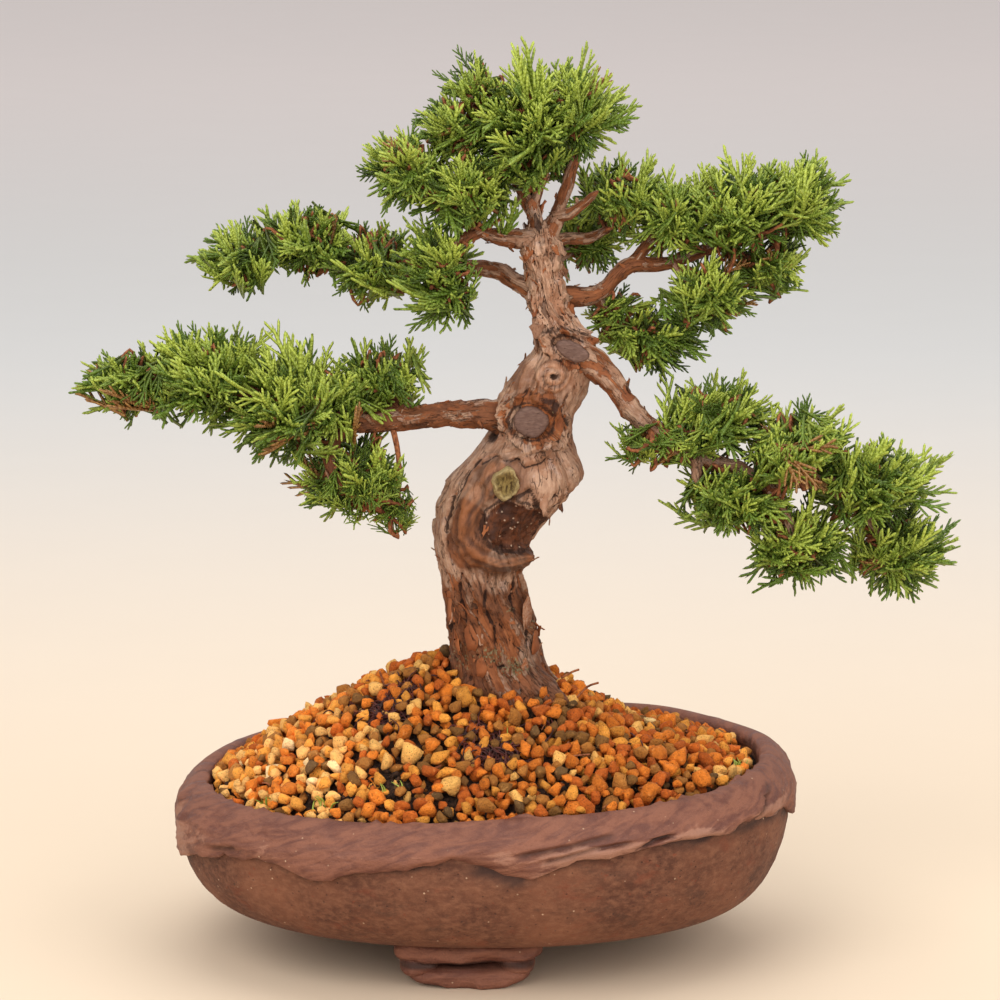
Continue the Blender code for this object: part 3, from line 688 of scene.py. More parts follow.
POT_HALF_WIDTH = 91.0
POT_HALF_DEPTH = 71.0
RIM_Z = 53.5
RIM_RISE = 3.5
AROUND = 240
BOWL = (  # inset from the widest line, height, share of the rim's slope
    (60, 12, 0), (40, 12, 0), (28, 12, 0), (19.5, 13.8, 0), (11.5, 18.5, 0.1), (6.0, 26.5, 0.3),
    (3.4, 35.5, 0.6),
    (2.8, 42, 1), (3.4, 47, 1), (7, 50.6, 1), (10.4, 50.8, 1), (11.1, 46.5, 0.8), (11.4, 35.5, 0.4),
    (14, 27.5, 0.2), (19.5, 21.2, 0), (27.5, 19, 0), (40, 19, 0), (60, 19, 0),
)
COLLAR_EDGE = (  # degrees round from the right, height of the torn lower edge
    (-180, 38), (-165, 35.5), (-152, 39), (-142.6, 42), (-132, 43.2), (-125, 40.5), (-119, 38.7),
    (-116, 39.3),
    (-110.7, 42.4), (-103, 42.3), (-98.7, 43.8), (-94.2, 44.9), (-89.8, 42.1), (-86, 39.5), (-82.3, 39),
    (-78.7, 41.2),
    (-73.3, 43.7), (-68.8, 43.4), (-62.8, 44.6), (-56.8, 45), (-48, 44.3), (-32.7, 44.2), (-18.6, 43),
    (-8, 38),
    (4, 39.5), (18, 43), (34, 41.5), (52, 44), (66, 39), (78, 42.8), (95, 43.8), (108, 38.5), (121, 41.6),
    (140, 43.4), (155, 40), (168, 42),
)
FOOT_PLACES = ((-4.0, -37.5, 0.0), (-43.0, 24.0, 62.0), (43.0, 24.0, -62.0))


def lip(x):
    return RIM_Z + RIM_RISE * x / POT_HALF_WIDTH


def oval(angle, inset):
    """Points of a rounded, slightly square oval, inside the collar's widest line."""
    x = np.sign(np.cos(angle)) * np.abs(np.cos(angle)) ** 0.92
    y = np.sign(np.sin(angle)) * np.abs(np.sin(angle)) ** 0.92
    return (POT_HALF_WIDTH - inset) * x, (POT_HALF_DEPTH - inset) * y


def potted(angle, inset, z, share):
    """Ring points of the pot, with the wander of a hand-built wall."""
    x, y = oval(angle, inset)
    slow = np.stack([x, y, np.broadcast_to(z, x.shape) * 0.6], -1).reshape(-1, 3)
    out = 1.0 + (0.8 * wander(slow, 38.0, 4.0, 2)).reshape(x.shape) * share / POT_HALF_DEPTH
    rise = 0.8 * wander(slow * (1, 1, 0), 36.0, 2.0, 2).reshape(x.shape) * share
    return np.stack([x * out, y * out, z + share * RIM_RISE * x / POT_HALF_WIDTH + rise], -1)


def outward(points):
    return unit(points * (1.0 / POT_HALF_WIDTH ** 2, 1.0 / POT_HALF_DEPTH ** 2, 0.0))


def push(rings, amount):
    """Move ring points out from the pot's axis by an amount for each."""
    return rings + outward(rings) * amount[..., None]


ANGLES = np.linspace(-math.pi, math.pi, AROUND, endpoint=False)


def bowl():
    rows = through(BOWL, 5)
    angle = np.tile(ANGLES, (len(rows), 1))
    rings = potted(angle, rows[:, :1], rows[:, 1:2], rows[:, 2:3])
    flat = rings.reshape(-1, 3)
    relief = 0.55 * wander(flat, (16, 16, 8), 5.0, 3) + 0.16 * wander(flat, 3.0, 6.0, 3)
    outside = ramp(rows[:, 1], 13.0, 20.0)[:, None] * (np.arange(len(rows)) < 45)[:, None]
    rings = push(rings, relief.reshape(angle.shape) * outside)
    edge = (
        np.interp(np.degrees(angle), *np.array(COLLAR_EDGE).T, period=360)
        + RIM_RISE * rings[..., 0] / POT_HALF_WIDTH
    )
    below = edge - rings[..., 2]
    ragged = below + 1.6 * wander(flat, (7, 7, 3), 9.0, 3).reshape(angle.shape)
    shadow = 1.15 * hump(ragged - 0.2, 2.1) * ramp(
        wander(flat, (12, 12, 4), 8.0).reshape(angle.shape), -0.6, 0.5
    )
    zero = np.zeros(angle.shape)
    points, faces = skin(rings)
    item = piece(
        "pot_bowl", points, faces, STONEWARE,
        {"slip": spread(zero), "worn": spread(zero), "shadow": spread(shadow)}
    )
    for x in (-30.0, 30.0):
        drill = bpy.data.meshes.new("drill")
        turn = np.linspace(0, math.tau, 40, endpoint=False)
        circle = np.stack([x + 8 * np.cos(turn), 8 * np.sin(turn), np.zeros(40)], -1)
        points, faces = skin([circle + UP * 4.0, circle + UP * 26.0])
        drill.from_pydata(points * MM + HOME, [], faces)
        cutter = bpy.data.objects.new("drill", drill)
        bpy.context.scene.collection.objects.link(cutter)
        cut = item.modifiers.new("drain_hole", "BOOLEAN")
        cut.operation = "DIFFERENCE"
        cut.solver = "MANIFOLD"
        cut.object = cutter
        bpy.context.view_layer.update()
        item.data = bpy.data.meshes.new_from_object(
            item.evaluated_get(bpy.context.evaluated_depsgraph_get())
        )
        item.modifiers.clear()
        bpy.data.objects.remove(cutter)
    return fit(item, "stoneware", "pot")


RIM_RUN = 80.0  # millimetres round the rim to a radian
DEGREE_RUN = 1.35  # and to a degree
COLLAR_TURN_Z = 47.6  # where the collar starts to hang
COLLAR_TOP = (  # over the lip from the inside out: inset, height
    (11.2, 50.0), (11.3, 51.8), (10.6, 53.2), (9.2, 53.9), (7.2, 53.6), (4.9, 52.0), (2.9, 49.6),
    (1.6, COLLAR_TURN_Z),
)
COLLAR_UNDER = ((0.85, -0.35), (1.7, -0.1), (3.4, 1.2), (5.5, 4.0))  # under the torn edge: inset, rise
CREASES = (  # degrees and height along each fold, depth, width
    (((-84, 45.4), (-77, 47.0), (-69, 48.6)), 1.1, 0.9), (((-80, 43.4), (-72, 46.0), (-65, 46.3)), 0.9, 0.7),
    (((-62.6, 44.4), (-60, 46.0), (-56.5, 46.4)), 2.2, 0.75), (((-146, 42.5), (-139, 44.0)), 1.3, 1.0),
    (((-33, 45.0), (-28, 48.5), (-24, 51.5)), 1.2, 1.0), (((-22, 44.0), (-20, 47.0)), 1.5, 0.8),
    (((64, 43.0), (72, 45.5)), 1.2, 0.9), (((118, 44.0), (127, 46.0), (134, 45.2)), 1.3, 0.9),
)
# Lumps: degrees round, height, how far out, width
LUMPS = (
    (-172, 50.5, 3.0, 2.6), (-163, 46.5, 1.8, 2.2), (-128, 52.5, 1.2, 2.6), (-150, 54, 1.4, 1.6),
    (-101, 53.8, 1.3, 1.5), (-96, 53.6, 0.9, 1.2), (-40, 52.5, 1.2, 2.0), (35, 53, 1.4, 2.0),
    (150, 53, 1.2, 1.8)
)


def collar():
    """A strip of clay folded down over the bowl's rim, torn along its lower edge."""
    top = through(COLLAR_TOP, 4)
    hang = np.linspace(0, 1, 16)[1:]
    angle = ANGLES
    degrees = np.degrees(angle)
    edge = np.interp(degrees, *np.array(COLLAR_EDGE).T, period=360)
    line = np.stack([angle * RIM_RUN, angle * 0, angle * 0], -1)
    edge = edge + 0.7 * wander(line, 6.0, 3.0, 2) + 0.35 * wander(line, 1.7, 4.0, 2)
    flush = 0.6 + 2.0 * ramp(wander(line, (15.0, 1.0, 1.0), 7.0, 2), 0.0, 0.55)
    rings, down = [], []
    for inset, z in top:
        rings.append(potted(angle, inset + 0 * angle, z, 1.0))
        down.append(0 * angle + 0.25 * np.clip((53.5 - z) / 6, 0, 1))
    for f in hang:
        z = COLLAR_TURN_Z + (edge - COLLAR_TURN_Z) * f
        inset = 1.6 - 1.9 * math.sin(1.75 * f) + 0.25 * f
        rings.append(potted(angle, inset + 0.35 * f + flush * f ** 2, z, 1.0))
        down.append(0 * angle + 0.25 + 0.75 * f)
    for inset, lift in COLLAR_UNDER:
        rings.append(potted(angle, inset + flush, edge + lift, 1.0))
        down.append(0 * angle + 1)
    rings.append(potted(angle, 9.0 + 0 * angle, 48.5, 1.0))
    down.append(0 * angle)
    rings, down = np.array(rings), np.array(down)
    flat = rings.reshape(-1, 3)
    along = np.tile(angle * RIM_RUN, (len(rings), 1)).ravel()
    slant = np.stack([along + flat[:, 2] * 1.3, flat[:, 2] * 1.0 - along * 0.35, 0 * along], -1)
    relief = (
        0.55 * wander(flat, 11.0, 1.0, 2) + 0.34 * wander(slant, (7.0, 1.7, 1.0), 2.0, 3)
        + 0.1 * wander(flat, 1.4, 3.0, 2)
    )
    where = np.stack(
        [
            np.tile(degrees * DEGREE_RUN, (len(rings), 1)).ravel(),
            flat[:, 2] - RIM_RISE * flat[:, 0] / POT_HALF_WIDTH, 0 * along
        ],
        -1
    )
    dark = np.zeros(len(flat))
    for way, deep, wide in CREASES:
        gap, _ = to_line(where, [(d * DEGREE_RUN, z, 0.0) for d, z in way])
        above = ramp(
            where[:, 1] - np.interp(where[:, 0], [d * DEGREE_RUN for d, _ in way], [z for _, z in way]),
            0.0, 1.5
        )
        relief += (0.9 * hump(gap, 3.0) * above - deep * hump(gap, wide)) * (flat[:, 2] < 53)
        dark = np.maximum(dark, hump(gap, wide * 0.8) * min(1.0, deep / 1.6))
    for degree, z, high, wide in LUMPS:
        gap = np.hypot(where[:, 0] - degree * DEGREE_RUN, where[:, 1] - z)
        relief += high * hump(gap, wide)
    rings = push(
        rings,
        relief.reshape(down.shape) * np.clip(down * 4.0 + 0.25, 0, 1) * np.where(
            np.arange(len(rings)) > len(rings) - 3, 0, 1
        )[:, None]
    )
    burr = np.abs(
        wander(np.stack([along, 0 * along, 0 * along], -1), (2.4, 1, 1), 6.0, 3)
    ).reshape(down.shape)
    lip_row = hump(np.arange(len(rings)) - 6.0, 2.6)[:, None]
    rings[..., 2] += burr * 1.9 * lip_row * ramp(np.sin(-angle), -0.6, 0.3)
    dark = np.maximum(
        dark, (0.75 * hump(np.arange(len(rings)) - 3.0, 2.4)[:, None] * ramp(burr, 0.1, 0.45)).ravel()
    )
    slip = 1.15 - ramp(down, 0.7, 1.1) * 0.55
    worn = ramp(down, 0.05, 0.55) * (0.5 + 0.6 * wander(flat, 18.0, 9.0).reshape(down.shape))
    points, faces = skin(rings, closed_ends=False)
    k = np.arange(AROUND)
    first, last = k, (len(rings) - 1) * AROUND + k
    turned = np.roll(k, -1)
    faces += np.stack([first, last, last[0] - first[0] + turned, turned], -1).tolist()
    marks = {"slip": slip.ravel(), "worn": np.clip(worn, 0, 1).ravel(), "shadow": dark, "stroke": slant * MM}
    faces = [tuple(reversed(f)) for f in faces]
    return fit(piece("pot_collar", points, faces, STONEWARE, marks), "stoneware", "pot")


def fold(half_length, half_depth, half_height, lift, sag, seed):
    """A soft roll of clay lying along X, fatter in the middle."""
    u = np.sin(np.linspace(-1, 1, 57) * math.pi / 2)
    turn = np.linspace(0, math.tau, 44, endpoint=False)
    ends = (1.0 - np.abs(u) ** 3.4) ** 0.42
    y = np.sign(np.cos(turn)) * np.abs(np.cos(turn)) ** 0.62 * half_depth
    z = np.sign(np.sin(turn)) * np.abs(np.sin(turn)) ** 0.72 * half_height
    rings = np.zeros((len(u), len(turn), 3))
    rings[..., 0] = (u * half_length)[:, None]
    rings[..., 1] = y * (0.3 + 0.7 * ends)[:, None]
    rings[..., 2] = z * (0.12 + 0.88 * ends)[:, None] + lift + (sag * (1 - u ** 2))[:, None]
    flat = rings.reshape(-1, 3)
    radial = unit(flat - (flat * (1, 0, 0) + (0, 0, lift)))
    bend = 1.15 * wander(flat, (9, 7, 5), seed, 2) + 0.3 * wander(flat, 2.4, seed + 1, 3)
    rings = (flat + radial * bend[:, None]).reshape(rings.shape)
    return rings


def feet():
    parts = []
    for i, (x, y, turn) in enumerate(FOOT_PLACES):
        c, s = math.cos(math.radians(turn)), math.sin(math.radians(turn))
        spin = np.array([[c, s, 0], [-s, c, 0], [0, 0, 1]])
        rolls = [
            fold(21.0, 10.3, 3.6, 10.4, -0.5, 1.0 + i), fold(17.6, 9.8, 3.5, 3.9, -1.1, 4.0 + i),
            fold(5.2, 8.6, 3.2, 6.6, 0.0, 7.0 + i) + (13.6, 0.6, 0),
            fold(5.6, 9.0, 3.4, 6.4, 0.0, 9.0 + i) + (-13.8, 0.6, 0),
        ]
        for rings in rolls:
            rings[..., 2] = np.maximum(rings[..., 2], 0.02 + 0.05 * (rings[..., 2] < 0.02))
            dark = ramp(hump(rings[..., 2] - 6.9, 1.3) * ramp(-rings[..., 1], 2.0, 8.0), 0.1, 0.9)
            points, faces = skin(rings @ spin + (x, y, 0))
            stroke = spread(rings * (0.7, 0.7, 1.0) * MM)
            marks = {
                "slip": spread(0 * dark + 0.8), "worn": spread(0 * dark + 0.12), "shadow": spread(dark),
                "stroke": stroke
            }
            parts.append((points, faces, marks))
    points, faces, marks = join_up(parts)
    return fit(piece("pot_feet", points, faces, STONEWARE, marks), "stoneware", "pot")


# ---------------------------------------------------------------- soil and gravel

PEAK = np.array([-10.0, 4.0])
PEAK_Z = 84.5
EDGE_INSET = 12.4


def mound(x, y):
    """Height of the gravel's surface, and how far out from the peak it is, 0 to 1."""
    x, y = np.atleast_1d(x).astype(float), np.atleast_1d(y).astype(float)
    dx, dy = x - PEAK[0], y - PEAK[1]
    away = np.maximum(np.hypot(dx, dy), 1e-6)
    low, high = np.zeros_like(away), 200.0 / away
    for _ in range(24):
        t = (low + high) / 2
        ex, ey = PEAK[0] + dx * t, PEAK[1] + dy * t
        inside = (
            np.abs(ex / (POT_HALF_WIDTH - EDGE_INSET)) ** 2.17
            + np.abs(ey / (POT_HALF_DEPTH - EDGE_INSET)) ** 2.17 < 1
        )
        low, high = np.where(inside, t, low), np.where(inside, high, t)
    share = 1.0 / np.maximum(low, 1e-6)
    edge = lip(PEAK[0] + dx * low) - 3.5
    hollow = 4.5 * ramp(x, 18.0, 42.0) * ramp(y, -35.0, 5.0) * np.clip(3.0 * (1.0 - share), 0, 1)
    return edge + (PEAK_Z - edge) * (1.0 - np.clip(share, 0, 1) ** 1.2) - hollow, share


BARE = (  # bare patches of soil in the gravel: middle, reach, how bare
    (-25, -43, 11, 0.95), (-40, -43, 7, 0.9), (5, -37, 6, 0.8), (76, 8, 11, 0.98), (73, -7, 8, 0.9),
    (60, -28, 6, 0.7),
    (22, -47, 8, 0.7), (-76, -12, 5, 0.9), (-26, -14, 5, 0.6), (-60, 34, 9, 0.8), (20, 52, 9, 0.8),
    (58, 38, 8, 0.85), (20, -14, 5, 0.5),
)


def bareness(x, y):
    bare = np.zeros(np.shape(x))
    for cx, cy, reach, much in BARE:
        bare = np.maximum(bare, much * hump(np.hypot(x - cx, y - cy), reach))
    return bare


def soil():
    shares = np.linspace(1.0, 0.02, 64)
    ex, ey = oval(ANGLES, EDGE_INSET - 0.7)
    x = PEAK[0] + (ex - PEAK[0]) * shares[:, None]
    y = PEAK[1] + (ey - PEAK[1]) * shares[:, None]
    z = mound(x.ravel(), y.ravel())[0].reshape(x.shape)
    top = np.stack([x, y, z - 3.6], -1)
    flat = top.reshape(-1, 3)
    bare = bareness(flat[:, 0], flat[:, 1])
    lumps = 1.1 * wander(flat, 5.0, 1.0, 2) + 0.75 * wander(flat, 1.6, 2.0, 3)
    top[..., 2] += (lumps + bare * 2.0).reshape(x.shape)
    wall = []
    for inset, height, share in (
        (28, 19.4, 0), (20, 21.6, 0), (14.4, 27.9, 0.2), (11.8, 36, 0.4), (11.6, 45.5, 0.8)
    ):
        wall.append(potted(ANGLES, inset + 0 * ANGLES, height, share))
    points, faces = skin(np.concatenate([np.array(wall), top]))
    return fit(piece("soil_bed", points, faces, HUMUS), "soil", "soil", "gravel_topdressing")


def ball(fineness, squash, seed, rough):
    """A worn, slightly angular grain of size 1."""
    bm = bmesh.new()
    if fineness:
        bmesh.ops.create_icosphere(bm, subdivisions=2, radius=1.0)
    else:
        bmesh.ops.create_cube(bm, size=1.3)
        bmesh.ops.subdivide_edges(bm, edges=bm.edges, cuts=1, use_grid_fill=True)
    points = np.array([v.co for v in bm.verts])
    faces = [tuple(v.index for v in f.verts) for f in bm.faces]
    bm.free()
    points = unit(points) if not fineness else points
    flat = np.sign(points) * np.abs(points) ** 0.82
    points = flat * (1.0 + rough * wander(points, 0.85, seed, 2))[:, None] * squash
    draw = np.random.default_rng(int(seed * 10))
    for way in unit(draw.normal(0, 1, (9, 3))):  # chip flats across its corners
        over = points @ way - draw.uniform(0.45, 0.75)
        points = points - way * np.maximum(over, 0)[:, None] * 0.95
    return points * 1.24, faces, {}


def settle(count, seed):
    """Drop grains on the mound one by one; each comes to rest on the ones that it touches."""
    draw = np.random.default_rng(seed)
    cells, kept = {}, []
    size = 5.0
    tries = 26000
    spots = draw.uniform((-80, -60), (80, 60), (tries, 2))
    ground, share = mound(spots[:, 0], spots[:, 1])
    bare = bareness(spots[:, 0], spots[:, 1])
    big = draw.random(tries)
    chance = draw.random(tries)
    for i in range(tries):
        x, y = spots[i]
        r = 1.45 + 0.95 * big[i] ** 1.4 + (0.9 * draw.random() if big[i] > 0.93 else 0.0)
        if share[i] > 1.0 - (r - 0.4) / 60.0 or chance[i] < bare[i]:
            continue
        if ((x - 5.5) / 16.0) ** 2 + (y / 15.0) ** 2 < 1.0:
            continue
        z = ground[i] - 2.3 + 0.25 * r
        cx, cy = int(x // size), int(y // size)
        hit = 0
        for gx in (cx - 1, cx, cx + 1):
            for gy in (cy - 1, cy, cy + 1):
                for ox, oy, oz, other in cells.get((gx, gy), ()):
                    gap = (x - ox) ** 2 + (y - oy) ** 2
                    reach = (r + other) * 0.79
                    if gap < reach * reach:
                        z = max(z, oz + math.sqrt(reach * reach - gap))
                        hit += 1
        if z > ground[i] + 1.3 + 0.4 * r or (hit and z - ground[i] > 0.4 and draw.random() < 0.45):
            continue
        cells.setdefault((cx, cy), []).append((x, y, z, r))
        kept.append((x, y, z, r))
        if len(kept) == count:
            break
    return np.array(kept)


CLAY_COLOURS = (  # colour, share on the pale left side, share in the middle
    (tint(212, 118, 40), 0.20, 0.30), (tint(186, 92, 30), 0.07, 0.27), (tint(222, 148, 64), 0.30, 0.16),
    (tint(232, 176, 106), 0.28, 0.05), (tint(164, 106, 50), 0.12, 0.15), (tint(124, 84, 42), 0.03, 0.06),
    (tint(238, 204, 156), 0.025, 0.004), (tint(104, 76, 48), 0.004, 0.014),
)


def gravel():
    grains = settle(2300, 11)
    draw = np.random.default_rng(5)
    count = len(grains)
    pale = ramp(-grains[:, 0], 12.0, 50.0) * ramp(-grains[:, 1], -30.0, 10.0)
    pale = np.maximum(pale, ramp(grains[:, 0], 62.0, 76.0) * 0.8)
    colours = np.zeros((count, 3))
    for i in range(count):
        odds = np.array([c[1] * pale[i] + c[2] * (1 - pale[i]) for c in CLAY_COLOURS])
        pick = draw.choice(len(CLAY_COLOURS), p=odds / odds.sum())
        colours[i] = np.array(CLAY_COLOURS[pick][0]) * draw.uniform(0.78, 1.18) * (0.92 + 0.28 * pale[i]) * (
            1.0, 0.97 + 0.03 * pale[i], 0.72 + 0.16 * pale[i]
        )
    turns = draw.uniform(0, math.tau, (count, 3))
    stretch = draw.uniform(0.72, 1.2, (count, 3))
    shapes = shape_set("grain", [ball(1, (1.05, 0.92, 0.8), 3.0 * k + 1, 0.3) for k in range(10)])
    item = strew(
        "gravel_bed", shapes, GRIT, grains[:, :3], turns, grains[:, 3:] * stretch,
        draw.integers(0, 10, count), {"tint": colours},
    )
    return fit(item, "gravel", "gravel_topdressing")


def crumbs():
    """Loose soil crumbs and chips over the bare patches and between the grains."""
    draw = np.random.default_rng(21)
    spots = draw.uniform((-79, -59), (79, 59), (16000, 2))
    z, share = mound(spots[:, 0], spots[:, 1])
    keep = (share < 0.985) & (draw.random(len(spots)) < bareness(spots[:, 0], spots[:, 1]) * 0.75 + 0.02)
    keep &= ((spots[:, 0] - 5.5) / 17) ** 2 + (spots[:, 1] / 15.5) ** 2 > 1
    spots, z = spots[keep], z[keep]
    points = np.column_stack(
        [spots, z - 2.2 + draw.uniform(-0.6, 1.0, len(z)) + 1.4 * bareness(spots[:, 0], spots[:, 1])]
    )
    sizes = draw.uniform(0.25, 0.85, (len(z), 1)) * draw.uniform(0.7, 1.3, (len(z), 3))
    shapes = shape_set("crumb", [ball(0, (1.0, 0.85, 0.8), 2.0 * k + 1, 0.35) for k in range(4)])
    item = strew(
        "soil_crumbs", shapes, HUMUS, points, draw.uniform(0, math.tau, (len(z), 3)), sizes,
        draw.integers(0, 4, len(z))
    )
    return fit(item, "soil", "gravel_topdressing")


# ---------------------------------------------------------------- trunk

TRUNK = (  # height, middle x and y, half width, half depth
    (58, 5, 1, 18, 17), (68, 5.5, .5, 18.5, 17), (76, 5.8, 0, 16, 14.5), (84, 4.1, 0, 13.1, 12.8),
    (92, 3.4, 0, 12.3, 12),
    (103, .9, -.5, 11.2, 11.5), (114, 0, -1, 12.2, 12.5), (122, 1.1, -1.5, 14.6, 14),
    (129.5, 4.3, -2, 17.6, 15),
    (137, 8, -2, 18.3, 15), (144, 11.3, -1.5, 15.2, 13), (150, 13.2, -1, 12.2, 11.5),
    (155.5, 14.2, -1, 11.5, 11),
    (163, 17.8, -1, 12, 10.5), (170, 20.8, -.5, 10.4, 9.5), (175, 22.6, 0, 8.4, 8),
    (181, 20.6, .5, 6.2, 6.4),
    (187, 18, 1, 5.6, 5.8), (194, 17.4, 1, 5, 5.2), (200, 16.5, 1, 5.2, 5.2), (205, 16, 1, 5.8, 5.4),
    (209, 16.2, 1, 3.6, 3.4),
)

# Places on the front of the trunk are (across, height)
KNOT = (19.7, 168.5)
TRUNK_TOP = 209.5
GRAIN_TURN = 46.0  # height over which the grain turns by one radian
# Lips of the two pasted cuts: place, half sizes, lean, height of the lip
CUT_LIPS = ((25.2, 175.2, 5.3, 2.7, -28, 1.5), (13.6, 155.6, 5.2, 4.6, -8, 2.1))
CALLUS = (
    (4.0, 143.0), (-1.2, 137.5), (-4.4, 130.5), (-5.2, 123.0), (-1.6, 118.0), (4.5, 115.4), (11.0, 115.8)
)
SCAR_MARGIN = ((5.5, 137.0), (0.8, 131.5), (-0.8, 126.5), (1.8, 121.3), (7.5, 118.2), (13.0, 118.0))
LOWER_ROLL = ((-1.5, 115.5), (3.5, 113.2), (9.0, 113.6), (13.0, 116.0))
# Grooves beside the scar, and how deep
SCAR_GROOVES = (
    (((12.5, 136.5), (8.0, 134.5), (2.5, 130.5), (0.2, 126.5)), 1.1),
    (((13.5, 137.0), (16.0, 131.0), (17.2, 125.0), (16.5, 118.5)), 1.2)
)
# Patches of lichen: place, half sizes, how thick
LICHEN = (
    (14.8, 97.3, 4.5, 6, 0.62), (2.1, 88.0, 8, 5, 0.55), (9.0, 84.0, 8, 5, 0.62), (-6.0, 86.0, 4, 9, 0.5),
    (8.0, 101.0, 3.5, 3.5, 0.5)
)
# Root flares: direction in radians, how far out, height of the top
ROOT_FLARES = (
    (-0.5, 2.6, 84), (-2.3, 1.5, 82), (-1.35, 1.5, 80), (1.4, 3.0, 84), (2.6, 2.0, 82), (0.5, 2.0, 82)
)
CRACKS = (
    ((-1, 152), (-6, 146), (-10, 138), (-12, 128)), ((2.5, 147), (-3, 141.5), (-7, 133), (-8.2, 124)),
    ((-5.5, 141), (-8.8, 132), (-9.8, 121), (-8, 113)), ((9.5, 176), (6, 168), (3.2, 160), (3.4, 152)),
    ((13, 166), (10.5, 160.5), (8.2, 154)), ((24, 163), (22.5, 157), (24.5, 150), (24, 145)),
    ((-4, 118), (-6.5, 108), (-5, 98), (-6.5, 84)), ((2, 112), (0.5, 103), (3.5, 94), (2, 82)),
    ((9, 113), (8.5, 104), (10.8, 97)), ((-8.5, 110), (-9.5, 100), (-8.8, 90), (-10, 80)),
    ((12, 106), (13.5, 97), (12.5, 88), (15, 79)),
)
TORN_EDGE = (
    (0.5, 143.6), (4.0, 146.2), (7.7, 144.9), (10.0, 145.9), (11.9, 143.4), (13.5, 144.0), (16.1, 144.6),
    (19.5, 147.5), (22.5, 147.0),
)
LOBE_EDGE = (
    (12.5, 137), (15.0, 131.5), (16.5, 128.8), (18.5, 131.5), (21.0, 132.8), (24.5, 135.5), (27, 138),
)


